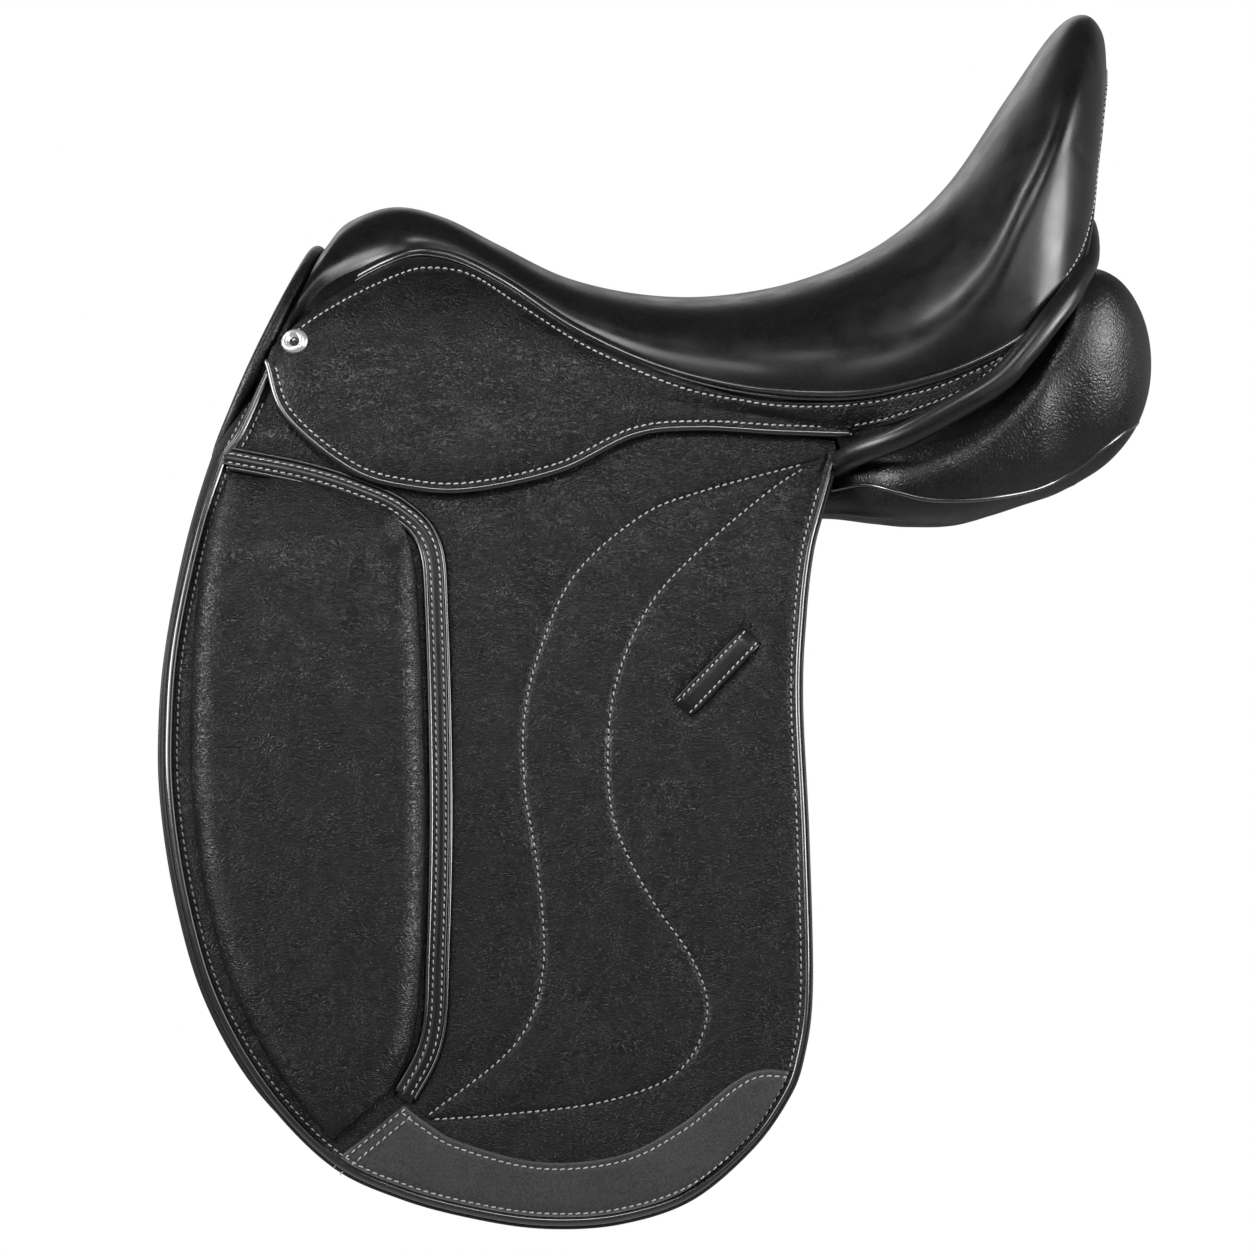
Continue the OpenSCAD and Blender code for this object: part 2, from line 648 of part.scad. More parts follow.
// Rolled facing round the back of the seat, from the left side round to the right
roll_half = [
    [84, -138, -34], [112, -151, -24], [140, -153, -9], [165, -148, 6], [186, -137, 23], [200, -120, 43],
    [208, -95, 62], [210, -60, 80], [209, -22, 90]];
function both_sides(half) = concat(half, [for (p = reversed(half)) [p.x, -p.y, p.z]]);
module rear_roll() {
    color(leather) tube(curve(both_sides(roll_half), 3), roll_d, 10);
}

// Rolled facing round the front arch
front_half = [
    [-220.5, -103.5, 9.5], [-209, -94, 34], [-199, -74, 55], [-193, -44, pommel_h - 30.5],
    [-190.5, -15, pommel_h - 25]];
module front_roll() {
    color(leather) tube(curve(both_sides(front_half), 3), front_roll_d, 10);
}

// Back of the cantle, between the seat leather and the rolled facing
back_top = concat([for (s = [13.1, 13.5, 14, 14.5, 15]) seat_point(s, -1, 0)],
    [seat_point(15, -0.66, 0), seat_point(15, -0.33, 0)]);
back_low = [
    [204.2, -106, 62.6], [205.2, -97.2, 69.2], [206.5, -84, 78.5], [208, -67, 88.5], [210.5, -46, 96.5],
    [210.5, -30, 100], [209.5, -14, 100.5]];
module cantle_back() {
    rows = 4;
    clear = [0.4, 0, -0.6];
    core = [120, 0, 60];
    top = curve(both_sides(back_top), 2);
    low = curve(both_sides(back_low), 2);
    grid = [for (i = [0 : rows])
        [for (j = [0 : len(top) - 1]) top[j] + clear + (low[j] - top[j]) * i / rows]];
    inner = [for (row = grid) [for (p = row) p + cover_t * unit(core - p)]];
    color(leather) slab(grid, inner);
}

seat_cover();
seat_foam();
seat_web_long();
seat_web_cross();
tree_cantle();
tree_head();
head_plate();
gullet_plate();
arch_lining();
tree_rivets();
cantle_back();
rear_roll();
front_roll();
gullet_lining();
for (side = ["left", "right"]) {
    seat_welt(side);
    tree_rail(side);
    tree_spring(side);
    stirrup_bar(side);
    bar_catch(side);
    catch_pin(side);
    skirt_root(side);
    skirt(side);
    nail(side);
    flap(side);
    knee_pad(side);
    seam_band(side);
    toe_patch(side);
    keeper(side);
    sweat_flap(side);
    billet(side, billet_x[0]);
    billet(side, billet_x[1]);
    girth_web(side);
    panel(side);
}
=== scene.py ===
"""Looks of the dressage saddle: leather, seams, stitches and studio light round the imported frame.

Shapes are worked out in millimetres on the left side, with the part's own curves, and mirrored to the right.
"""

import math

import bpy
import numpy as np
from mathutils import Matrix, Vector
from mathutils.geometry import delaunay_2d_cdt


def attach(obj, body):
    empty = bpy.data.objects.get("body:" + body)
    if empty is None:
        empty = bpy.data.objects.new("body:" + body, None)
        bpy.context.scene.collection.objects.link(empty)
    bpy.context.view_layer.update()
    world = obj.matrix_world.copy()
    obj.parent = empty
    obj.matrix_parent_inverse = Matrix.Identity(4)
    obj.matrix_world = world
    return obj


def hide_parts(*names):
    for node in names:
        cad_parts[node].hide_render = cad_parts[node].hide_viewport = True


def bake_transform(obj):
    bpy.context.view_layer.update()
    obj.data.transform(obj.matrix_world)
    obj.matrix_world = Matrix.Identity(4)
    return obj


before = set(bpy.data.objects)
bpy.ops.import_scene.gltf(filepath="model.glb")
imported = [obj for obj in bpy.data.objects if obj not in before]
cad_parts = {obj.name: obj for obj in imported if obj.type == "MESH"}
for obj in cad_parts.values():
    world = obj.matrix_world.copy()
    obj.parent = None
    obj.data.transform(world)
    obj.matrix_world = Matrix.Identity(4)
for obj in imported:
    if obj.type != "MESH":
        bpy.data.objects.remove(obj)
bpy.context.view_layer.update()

MM = 0.001
SIDES = (("left", 1), ("right", -1))

# Sizes that the part's source gives, in millimetres
SIDE_R, SIDE_Z, SIDE_HALF = 1286, -450, 94.3
SIDE_Y = math.sqrt(SIDE_R**2 - SIDE_Z**2) - SIDE_HALF
SWEAT_OUT = 3.5
BILLET_IN, BILLET_OUT = 4.5, 9
FLAP_IN, FLAP_OUT = 10, 15
TRIM_IN = 15.15
SKIRT_IN, SKIRT_OUT = 16, 20.5
FLAP_H = 404
COVER_T, FOAM_T, WEB_T = 3, 20, 2
SOFT_TOUCH = 0.4
WELT_D = 4
SEAM_LIFT = WELT_D / 2 + 3 * SOFT_TOUCH
STITCH_PITCH, FINE_THREAD = 3.9, 0.75


# Curves

def spline(points, s):
    """Catmull-Rom through points; s counts them from 0."""
    p = np.asarray(points, float)
    n = len(p) - 1
    p = np.vstack([2 * p[0] - p[1], p, 2 * p[n] - p[n - 1]])
    s = np.asarray(s, float)
    k = np.clip(np.floor(s), 0, n - 1).astype(int)
    t = (s - k)[..., None]
    a, b, c, d = p[k], p[k + 1], p[k + 2], p[k + 3]
    return 0.5 * (2 * b + (c - a) * t + (2 * a - 5 * b + 4 * c - d) * t**2 + (3 * b - a - 3 * c + d) * t**3)


def run_along(path):
    """How far along a polyline each of its points lies."""
    return np.concatenate([[0], np.cumsum(np.linalg.norm(np.diff(path, axis=0), axis=1))])


def sampled(values, run, at):
    """Rows of values, given at the places run, at other places."""
    return np.stack([np.interp(at, run, column) for column in values.T], 1)


def even(path, spacing):
    """A polyline's points set at an even spacing."""
    path = np.asarray(path, float)
    run = run_along(path)
    return sampled(path, run, np.linspace(0, run[-1], max(2, round(run[-1] / spacing)) + 1))


def closed(loop):
    return np.vstack([loop, loop[:1]])


def curve(points, spacing):
    return even(spline(points, np.linspace(0, len(points) - 1, 40 * (len(points) - 1) + 1)), spacing)


def unit(v):
    return v / np.maximum(np.linalg.norm(v, axis=-1, keepdims=True), 1e-9)


def tangents(path):
    return unit(np.gradient(path, axis=0))


def offset(path, d):
    """An x-z polyline moved d to the left of its own direction."""
    t = tangents(path)
    return path + d * np.stack([-t[:, 1], t[:, 0]], 1)


def nearest(points, path):
    """Distance from each point to a polyline, and how far along the polyline that is."""
    step = np.diff(path, axis=0)
    length2 = np.maximum((step**2).sum(1), 1e-12)
    run = np.concatenate([[0], np.cumsum(np.sqrt(length2))[:-1]])
    gap, place = np.empty(len(points)), np.empty(len(points))
    for block in np.array_split(np.arange(len(points)), len(points) // 3000 + 1):
        away = points[block][:, None] - path[None, :-1]
        t = np.clip((away * step).sum(2) / length2, 0, 1)
        d2 = ((away - t[..., None] * step) ** 2).sum(2)
        k = d2.argmin(1)
        row = np.arange(len(block))
        gap[block] = np.sqrt(d2[row, k])
        place[block] = run[k] + t[row, k] * np.sqrt(length2[k])
    return gap, place


def inside(points, loop):
    """Which x-z points lie inside a closed loop."""
    a, b = loop, np.roll(loop, -1, axis=0)
    run_per_rise = (b[:, 0] - a[:, 0]) / np.where(b[:, 1] == a[:, 1], 1e-9, b[:, 1] - a[:, 1])
    found = []
    for block in np.array_split(points, len(points) // 3000 + 1):
        x, z = block[:, :1], block[:, 1:]
        crosses = (a[:, 1] > z) != (b[:, 1] > z)
        found.append((crosses & (x < a[:, 0] + (z - a[:, 1]) * run_per_rise)).sum(1) % 2 == 1)
    return np.concatenate(found)


def smooth(x, low, high):
    t = np.clip((x - low) / (high - low), 0, 1)
    return t * t * (3 - 2 * t)


def on_side(xz, depth):
    """Points on the left side at a depth outside the sweat flap's inner face."""
    x, z = xz[..., 0], xz[..., 1]
    return np.stack([x, SIDE_Y - np.sqrt((SIDE_R + depth) ** 2 - (z - SIDE_Z) ** 2), z], -1)


def side_normal(points):
    return unit(points * (0, 1, 1) - (0, SIDE_Y, SIDE_Z))


def level(depth):
    """One depth everywhere, for a face of a sheet."""
    return lambda xz: np.full(len(xz), float(depth))


# Mesh forms: each returns vertices in millimetres and a list of faces

def join(*forms):
    verts, faces, base = [], [], 0
    for v, f in forms:
        verts.append(v)
        faces += [tuple(i + base for i in face) for face in f]
        base += len(v)
    return np.vstack(verts), faces


def shell(outer, inner):
    """Closed form between two grids of points of one shape."""
    n, m = outer.shape[:2]
    k = np.arange(n * m).reshape(n, m)
    quads = np.stack([k[:-1, :-1], k[:-1, 1:], k[1:, 1:], k[1:, :-1]], -1).reshape(-1, 4)
    rim = np.concatenate([k[0], k[1:, -1], k[-1, -2::-1], k[-2:0:-1, 0]])
    wall = np.stack([rim, rim + n * m, np.roll(rim, -1) + n * m, np.roll(rim, -1)], -1)
    faces = np.vstack([quads, quads[:, ::-1] + n * m, wall])
    return np.vstack([outer.reshape(-1, 3), inner.reshape(-1, 3)]), [tuple(f) for f in faces.tolist()]


def outward(form):
    """The form with its faces turned outward, by the sign of its volume."""
    v, faces = form
    tri = np.array([(f[0], f[i], f[i + 1]) for f in faces for i in range(1, len(f) - 1)])
    volume = (v[tri[:, 0]] * np.cross(v[tri[:, 1]], v[tri[:, 2]])).sum()
    return form if volume > 0 else (v, [f[::-1] for f in faces])


def loft(rings):
    """Closed form through rings of points, with each end drawn to its middle."""
    n, m = rings.shape[:2]
    k = np.arange(n * m).reshape(n, m)
    q = np.roll(k, -1, axis=1)
    faces = np.stack([k[:-1], q[:-1], q[1:], k[1:]], -1).reshape(-1, 4).tolist()
    verts = np.vstack([rings.reshape(-1, 3), rings[0].mean(0), rings[-1].mean(0)])
    ends = [(q[0, j], k[0, j], n * m) for j in range(m)] + [(k[-1, j], q[-1, j], n * m + 1) for j in range(m)]
    return verts, [tuple(f) for f in faces] + [tuple(int(i) for i in f) for f in ends]


def tube(path, radius, sides):
    """Round tube along a path, with domed ends. radius is one number or one for each point."""
    path = np.asarray(path, float)
    r = np.broadcast_to(np.asarray(radius, float), len(path))
    t = tangents(path)
    side = [unit(np.cross(t[0], (0.13, 0.21, 0.97)))]
    for d in t[1:]:
        side.append(unit(side[-1] - d * np.dot(side[-1], d)))
    side = np.array(side)
    up = np.cross(side, t)
    dome = np.array([0.08, 0.5, 0.85])
    along = np.sqrt(1 - dome**2)
    first, last = path[0] - t[0] * r[0] * along[:, None], path[-1] + t[-1] * r[-1] * along[::-1, None]
    path = np.vstack([first, path, last])
    r = np.concatenate([r[0] * dome, r, r[-1] * dome[::-1]])
    side = np.vstack([np.repeat(side[:1], 3, 0), side, np.repeat(side[-1:], 3, 0)])
    up = np.vstack([np.repeat(up[:1], 3, 0), up, np.repeat(up[-1:], 3, 0)])
    a = np.linspace(0, 2 * math.pi, sides, endpoint=False)
    ring = np.cos(a)[None, :, None] * side[:, None] + np.sin(a)[None, :, None] * up[:, None]
    return outward(loft(path[:, None] + r[:, None, None] * ring))


EDGE_CLEAR, MERGE = 0.2, 0.45  # mesh points nearer than this to an edge or to each other are left out


def sheet(loop, front, back, rings, spacing, lines=(), line_steps=(), holes=()):
    """Closed sheet over an x-z loop. front and back give the depth at each point; rings and line_steps are
    the offsets from the edges and from the given lines at which the mesh is finer."""
    loops = [loop, *holes]
    fixed = np.vstack(loops)
    edges, base = [], 0
    for ring in loops:
        edges += [(base + i, base + (i + 1) % len(ring)) for i in range(len(ring))]
        base += len(ring)
    low, high = loop.min(0), loop.max(0)
    row = spacing * math.sqrt(3) / 2
    starts = [low[0] + (j % 2) * spacing / 2 for j in range(int((high[1] - low[1]) / row) + 1)]
    hexes = np.vstack([[(x, low[1] + j * row) for x in np.arange(start, high[0], spacing)]
                       for j, start in enumerate(starts)])
    ring_reach, line_reach = (max(steps, default=0) + spacing / 2 for steps in (rings, line_steps))
    clear = [nearest(hexes, closed(ring))[0] > ring_reach for ring in loops]
    clear += [nearest(hexes, line)[0] > line_reach for line in lines]
    free = [hexes[np.all(clear, axis=0)]]
    for ring in loops:
        edge = closed(ring)
        for d in rings:
            both = np.vstack([offset(edge, d)[:-1], offset(edge, -d)[:-1]])
            free.append(both[nearest(both, edge)[0] > 0.9 * d])
    for line in lines:
        free += [offset(line, d) for step in line_steps for d in ((step, -step) if step else (0,))]
    free = np.vstack(free)
    keep = inside(free, loop)
    for hole in holes:
        keep &= ~inside(free, hole)
    free = free[keep]
    free = free[np.min([nearest(free, closed(ring))[0] for ring in loops], axis=0) > EDGE_CLEAR]
    free = free[np.unique(np.round(free / MERGE).astype(int), axis=0, return_index=True)[1]]
    points = [Vector(p) for p in np.vstack([fixed, free]).tolist()]
    made = delaunay_2d_cdt(points, edges, [], 4, 1e-6)
    xz = np.array([v[:] for v in made[0]])
    tri = np.array([f for f in made[2] if len(f) == 3])
    n = len(xz)
    arrow = np.vstack([tri[:, [0, 1]], tri[:, [1, 2]], tri[:, [2, 0]]])
    _, first, count = np.unique(np.sort(arrow, axis=1), axis=0, return_index=True, return_counts=True)
    wall = [(int(b), int(a), int(a) + n, int(b) + n) for a, b in arrow[first[count == 1]]]
    faces = [tuple(f) for f in tri.tolist()] + [tuple(f) for f in (tri[:, ::-1] + n).tolist()] + wall
    return np.vstack([on_side(xz, front(xz)), on_side(xz, back(xz))]), faces


STITCH_RISE, STITCH_SLANT = 0.32, math.radians(8)


def stitches(path, normal, length=2.7, width=0.85, pitch=STITCH_PITCH):
    """A row of thread stitches along a path, each arched out of the leather and sunk at both ends."""
    run = run_along(path)
    at = (np.arange(int(run[-1] / pitch)) + 0.5) * run[-1] / max(1, int(run[-1] / pitch))
    where, n, t = (sampled(values, run, at) for values in (path, normal, tangents(path)))
    n = unit(n)
    t = unit(t - n * (t * n).sum(1, keepdims=True))
    b = np.cross(n, t)
    c, s = math.cos(STITCH_SLANT), math.sin(STITCH_SLANT)
    t, b = t * c + b * s, b * c - t * s
    a = np.linspace(0, 2 * math.pi, 6, endpoint=False)
    shoulder = STITCH_RISE * 0.65
    sections = [(-1, 0.45, -0.3), (-0.62, 0.95, shoulder), (0, 1, STITCH_RISE), (0.62, 0.95, shoulder),
                (1, 0.45, -0.3)]
    local = np.array([[(place * length / 2, math.sin(q) * r * width / 2, math.cos(q) * r * width / 2 + lift)
                       for q in a] for place, r, lift in sections])
    one, faces = loft(local)
    verts = where[:, None] + (one[None, :, :1] * t[:, None] + one[None, :, 1:2] * b[:, None]
                              + one[None, :, 2:] * n[:, None])
    count = len(one)
    return verts.reshape(-1, 3), [tuple(i + k * count for i in f) for k in range(len(where)) for f in faces]


def sewn(row, front, **size):
    """Stitches along an x-z row on the left side, at the depth that front gives."""
    space = on_side(row, front(row))
    return stitches(space, side_normal(space), **size)


# Materials

def add(tree, kind, inputs=None, **settings):
    node = tree.nodes.new(kind)
    for name, value in settings.items():
        setattr(node, name, value)
    for name, value in (inputs or {}).items():
        if isinstance(value, bpy.types.NodeSocket):
            tree.links.new(value, node.inputs[name])
        else:
            node.inputs[name].default_value = value
    return node


def math_node(tree, operation, a, b):
    return add(tree, "ShaderNodeMath", {0: a, 1: b}, operation=operation).outputs[0]


def ranged(tree, value, low, high, to_low=0.0, to_high=1.0):
    limits = {"From Min": low, "From Max": high, "To Min": to_low, "To Max": to_high}
    made = add(tree, "ShaderNodeMapRange", {"Value": value, **limits}, interpolation_type="SMOOTHSTEP")
    return made.outputs[0]


def blended(tree, a, b, share):
    """a with a share of b."""
    most, least = math_node(tree, "MULTIPLY", a, 1 - share), math_node(tree, "MULTIPLY", b, share)
    return math_node(tree, "ADD", most, least)


def noise(tree, at, scale, detail=2.0):
    return add(tree, "ShaderNodeTexNoise", {"Vector": at, "Scale": scale, "Detail": detail}).outputs["Fac"]


def blank(name, roughness, specular=0.5, metallic=0.0):
    made = bpy.data.materials.new(name)
    made.use_nodes = True
    shader = made.node_tree.nodes["Principled BSDF"]
    shader.inputs["Roughness"].default_value = roughness
    shader.inputs["Specular IOR Level"].default_value = specular
    shader.inputs["Metallic"].default_value = metallic
    at = add(made.node_tree, "ShaderNodeTexCoord").outputs["Object"]
    return made, made.node_tree, shader, at


def colour(tree, shader, share, dark, light):
    mixed = add(tree, "ShaderNodeMix", {"Factor": share, 6: (*dark, 1), 7: (*light, 1)}, data_type="RGBA")
    tree.links.new(mixed.outputs[2], shader.inputs["Base Color"])


def bump(tree, shader, height, depth_mm):
    made = add(tree, "ShaderNodeBump", {"Height": height, "Strength": 1.0, "Distance": depth_mm * MM})
    tree.links.new(made.outputs[0], shader.inputs["Normal"])


# The grain's wander in metres, and how much darker its creases (painted shade) and paler its crests (painted
# highlight) are than the leather's tone
GRAIN_DRIFT, CREASE_SHADE_TONE, CREST_HIGHLIGHT_TONE = 0.016, 0.3, 1.8
COAT_ROUGH = 0.15


def leather(name, tone, rough, cell, depth, specular, stretch=1.0, pores=0.1, even_grain=0.9, coat=0.0,
            folds=0.55):
    """Dyed leather: a net of creases about cell mm apart and depth mm deep with a share of longer folds in it,
    pores, uneven dye and gloss, with painted shade in its creases and a painted highlight on its crests."""
    made, tree, shader, at = blank(name, rough, specular)
    drift = add(tree, "ShaderNodeTexNoise", {"Vector": at, "Scale": 38, "Detail": 3}).outputs["Color"]
    centred = add(tree, "ShaderNodeVectorMath", {0: drift, 1: (0.5, 0.5, 0.5)}, operation="SUBTRACT").outputs[0]
    bent = add(tree, "ShaderNodeVectorMath", {0: centred, "Scale": GRAIN_DRIFT}, operation="SCALE").outputs[0]
    moved = add(tree, "ShaderNodeVectorMath", {0: at, 1: bent}, operation="ADD").outputs[0]
    laid = add(tree, "ShaderNodeMapping", {"Vector": moved, "Rotation": (0, 0.45, 0), "Scale": (1, 1, stretch)})
    net = add(tree, "ShaderNodeTexVoronoi", {"Vector": laid.outputs[0], "Scale": 1 / (cell * MM)},
              feature="DISTANCE_TO_EDGE")
    pillow = ranged(tree, net.outputs["Distance"], 0.0, 0.45)
    fold = math_node(tree, "SUBTRACT", noise(tree, laid.outputs[0], 0.62 / (cell * MM), 2), 0.5)
    fold = ranged(tree, math_node(tree, "ABSOLUTE", fold, 0.0), 0.0, 0.09)
    patchy = ranged(tree, noise(tree, at, 17, 1), 0.3, 0.7, even_grain, 1)
    creased = math_node(tree, "MULTIPLY", blended(tree, pillow, fold, folds), patchy)
    pore = math_node(tree, "MULTIPLY", noise(tree, at, 1100, 2), pores)
    bump(tree, shader, math_node(tree, "ADD", creased, pore), depth)
    # the colour mixes painted shade in the creases and a painted highlight on the crests with uneven dye
    crease_shade_and_dye = blended(tree, creased, noise(tree, at, 24, 4), 0.3)
    colour(tree, shader, crease_shade_and_dye, [CREASE_SHADE_TONE * c for c in tone], [CREST_HIGHLIGHT_TONE * c for c in tone])
    gloss = ranged(tree, noise(tree, at, 60, 4), 0.3, 0.7, rough - 0.05, rough + 0.06)
    tree.links.new(gloss, shader.inputs["Roughness"])
    shader.inputs["Coat Weight"].default_value = coat
    shader.inputs["Coat Roughness"].default_value = COAT_ROUGH
    return made


def woven(name, dark, light, pitch):
    """Flat webbing with its threads pitch mm apart."""
    made, tree, shader, at = blank(name, 0.85, 0.2)
    waves = [add(tree, "ShaderNodeTexWave", {"Vector": at, "Scale": 0.314 / (pitch * MM), "Distortion": 0.3},
                 bands_direction=axis).outputs["Fac"] for axis in "XZ"]
    weave = math_node(tree, "MULTIPLY", *waves)
    colour(tree, shader, blended(tree, weave, noise(tree, at, 90, 3), 0.3), dark, light)
    bump(tree, shader, weave, 0.3)
    return made


def metal(name, tone, rough, scratch, metallic=1.0):
    """Worked metal with fine scratches and smudged gloss."""
    made, tree, shader, at = blank(name, rough, 0.5, metallic)
    drawn = add(tree, "ShaderNodeMapping", {"Vector": at, "Scale": (1, 9, 9)}).outputs[0]
    lines = noise(tree, drawn, 420, 4)
    bump(tree, shader, lines, scratch)
    colour(tree, shader, noise(tree, at, 60, 3), [0.86 * c for c in tone], tone)
    gloss = ranged(tree, noise(tree, at, 130, 4), 0.3, 0.7, rough * 0.7, rough * 1.4)
    tree.links.new(gloss, shader.inputs["Roughness"])
    return made


def grained_wood(name, dark, light):
    made, tree, shader, at = blank(name, 0.55, 0.3)
    layers = add(tree, "ShaderNodeTexWave", {"Vector": at, "Scale": 70, "Distortion": 5, "Detail": 3},
                 bands_direction="Z").outputs["Fac"]
    fibre = add(tree, "ShaderNodeMapping", {"Vector": at, "Scale": (1, 12, 12)}).outputs[0]
    share = math_node(tree, "MULTIPLY", layers, noise(tree, fibre, 90, 5))
    colour(tree, shader, share, dark, light)
    bump(tree, shader, share, 0.15)
    return made


def foamed(name, dark, light):
    made, tree, shader, at = blank(name, 0.95, 0.1)
    cells = add(tree, "ShaderNodeTexVoronoi", {"Vector": at, "Scale": 700}).outputs["Distance"]
    colour(tree, shader, blended(tree, cells, noise(tree, at, 40, 3), 0.4), dark, light)
    bump(tree, shader, cells, 0.4)
    return made


BLACK = (0.008, 0.008, 0.0084)
SEAT = leather("seat_leather", (0.006, 0.006, 0.0063), 0.31, 1.5, 0.014, 0.42, pores=0.03, coat=0.1)
GRAIN = leather("grain_leather", (0.006, 0.006, 0.0063), 0.33, 2.4, 0.36, 0.42, stretch=2.4, pores=0.03,
                even_grain=0.95)
PANEL = leather("panel_leather", BLACK, 0.36, 2.2, 0.16, 0.5, pores=0.03, folds=0.2)
TRIM = leather("trim_leather", BLACK, 0.33, 1.2, 0.01, 0.45, pores=0.2, coat=0.15)
BEAD = leather("bead_leather", BLACK, 0.24, 1.2, 0.004, 1.0, pores=0.1, coat=1.0)
# The toe patch's grey tone is a painted sheen on black leather.
PATCH = leather("patch_leather", (0.055, 0.055, 0.057), 0.46, 1.0, 0.02, 0.5, pores=0.5)
STRAP = leather("strap_leather", (0.02, 0.019, 0.018), 0.5, 1.7, 0.06, 0.4, stretch=1.4)
THREAD = woven("waxed_thread", (0.55, 0.55, 0.56), (0.85, 0.85, 0.86), 0.5)
WEBBING = woven("linen_webbing", (0.42, 0.38, 0.3), (0.72, 0.67, 0.56), 1.4)
FOAM = foamed("seat_foam_cells", (0.55, 0.5, 0.36), (0.78, 0.74, 0.6))
WOOD = grained_wood("laminated_wood", (0.33, 0.19, 0.09), (0.66, 0.47, 0.27))
STEEL = metal("spring_steel", (0.42, 0.43, 0.45), 0.34, 0.02)
CHROME = metal("satin_nickel", (0.9, 0.9, 0.9), 0.3, 0.003, 0.75)


# Pieces

def make(name, form, material, body="root", stands_for=(), sharp=50):
    verts, faces = form
    mesh = bpy.data.meshes.new(name)
    mesh.from_pydata((verts * MM).tolist(), [], faces)
    mesh.shade_smooth()
    mesh.set_sharp_from_angle(angle=math.radians(sharp))
    mesh.materials.append(material)
    piece = bpy.data.objects.new(name, mesh)
    bpy.context.scene.collection.objects.link(piece)
    if body:
        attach(piece, body)
    if stands_for:
        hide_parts(*stands_for)
    return piece


def pair(name, form, material, body="root", stands_for=(), sharp=50):
    """A form on the left and its mirror image on the right. SIDE in a name stands for left or right."""
    pieces = []
    for side, sign in SIDES:
        verts, faces = form if sign > 0 else (form[0] * (1, -1, 1), [f[::-1] for f in form[1]])
        pieces.append(make(f"{side}_{name}", (verts, faces), material, body and body.replace("SIDE", side),
                           [n.replace("SIDE", side) for n in stands_for], sharp))
    return pieces


def bends(pieces):
    """Each of a pair has its placement baked into its mesh."""
    for piece, (side, sign) in zip(pieces, SIDES):
        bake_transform(piece)


def grid_normals(grid):
    return unit(np.cross(np.gradient(grid, axis=0), np.gradient(grid, axis=1)))


def row_on(grid, s, v):
    """Points and normals along a line of share (s, v) on a grid of points."""
    n, m = grid.shape[:2]
    normals = grid_normals(grid)
    i, j = np.clip(s * (n - 1), 0, n - 1.001), np.clip(v * (m - 1), 0, m - 1.001)
    a, b = np.floor(i).astype(int), np.floor(j).astype(int)
    p, q = (i - a)[:, None], (j - b)[:, None]

    def pick(f):
        return (f[a, b] * (1 - p) * (1 - q) + f[a + 1, b] * p * (1 - q) + f[a, b + 1] * (1 - p) * q
                + f[a + 1, b + 1] * p * q)

    return pick(grid), unit(pick(normals))


# Seat: ribs from the centre line to the seam with the skirt, front to back

TOP_LINE = [(-186, 76.5), (-174, 90.5), (-150, 98.5), (-124, 93), (-95, 78.5), (-60, 61.5), (-20, 52.5),
            (20, 51.8), (63, 60), (105, 79), (140, 110), (172, 157), (196, 191), (211, 199.5), (221, 190),
            (223.5, 169.5)]
SEAM_LINE = [(-206, -105, 23), (-184, -74, 49), (-148, -44, 71), (-122, -44, 72), (-92, -57, 58),
             (-55, -80, 33), (-10, -105, 12), (40, -124, 0), (90, -134, -2), (130, -141, 6), (158, -142, 17),
             (176, -138, 28), (192, -128, 41), (204, -112, 59), (212, -90, 88), (217, -58, 128)]
CORE_LINE = [(-160, 5), (-158, 15), (-148, 25), (-122, 20), (-92, 5), (-58, -15), (-15, -40), (30, -55),
             (75, -55), (115, -40), (140, -10), (155, 20), (160, 50), (165, 75), (168, 95), (170, 110)]
LAST_RIB = len(SEAM_LINE) - 1
# The rounded bolster at each side of the seat's rear, rib and place across it, and the dish inside it
BOLSTER = [(7, 1), (8, 0.97), (9, 0.92), (9.5, 0.885), (10, 0.84), (11, 0.73), (12, 0.65), (12.5, 0.62),
           (14, 0.57)]
BOLSTER_H, BOLSTER_W = 4.6, 0.135
DISH_DEPTH, DISH_W, DISH_IN = 4.6, 0.24, 0.33


def seat_point(s, u, d=0.0):
    """A point on the seat: rib s, u from -1 at the left seam to 1 at the right one, d below the surface."""
    s, u = np.broadcast_arrays(np.asarray(s, float), np.asarray(u, float))
    top, seam, core = spline(TOP_LINE, s), spline(SEAM_LINE, s), spline(CORE_LINE, s)
    crest = np.stack([top[..., 0], 0 * u, top[..., 1]], -1)
    edge = seam + SEAM_LIFT * unit(crest - seam)
    fuller = (1 - 0.17 * smooth(s, 4, 8) * (1 - 0.6 * smooth(s, 12, LAST_RIB)))
    rise = np.cos(u * math.pi / 2).clip(0) ** fuller
    across = np.sign(u) * np.abs(np.sin(u * math.pi / 2)) ** fuller
    p = np.stack([edge[..., 0] + (top[..., 0] - edge[..., 0]) * rise, -edge[..., 1] * across,
                  edge[..., 2] + (top[..., 1] - edge[..., 2]) * rise], -1)
    inner = np.stack([core[..., 0], 0 * u, core[..., 1]], -1)
    ridge_u = np.interp(s, *np.array(BOLSTER).T)
    fade = smooth(s, 7.4, 9.6) * (1 - smooth(s, 11.2, 13.6))
    swell = BOLSTER_H * np.exp(-(((np.abs(u) - ridge_u) / BOLSTER_W) ** 2))
    dip = DISH_DEPTH * np.exp(-(((np.abs(u) - ridge_u + DISH_IN) / DISH_W) ** 2))
    return p + (d - fade * (swell - dip))[..., None] * unit(inner - p)


def seat_grid(s0, s1, rows, u0, u1, cols, d):
    return seat_point(np.linspace(s0, s1, rows)[:, None], np.linspace(u0, u1, cols)[None], d)


def seat_layer(s0, s1, rows, u0, u1, cols, d0, d1):
    return shell(seat_grid(s0, s1, rows, u0, u1, cols, d0), seat_grid(s0, s1, rows, u0, u1, cols, d1))


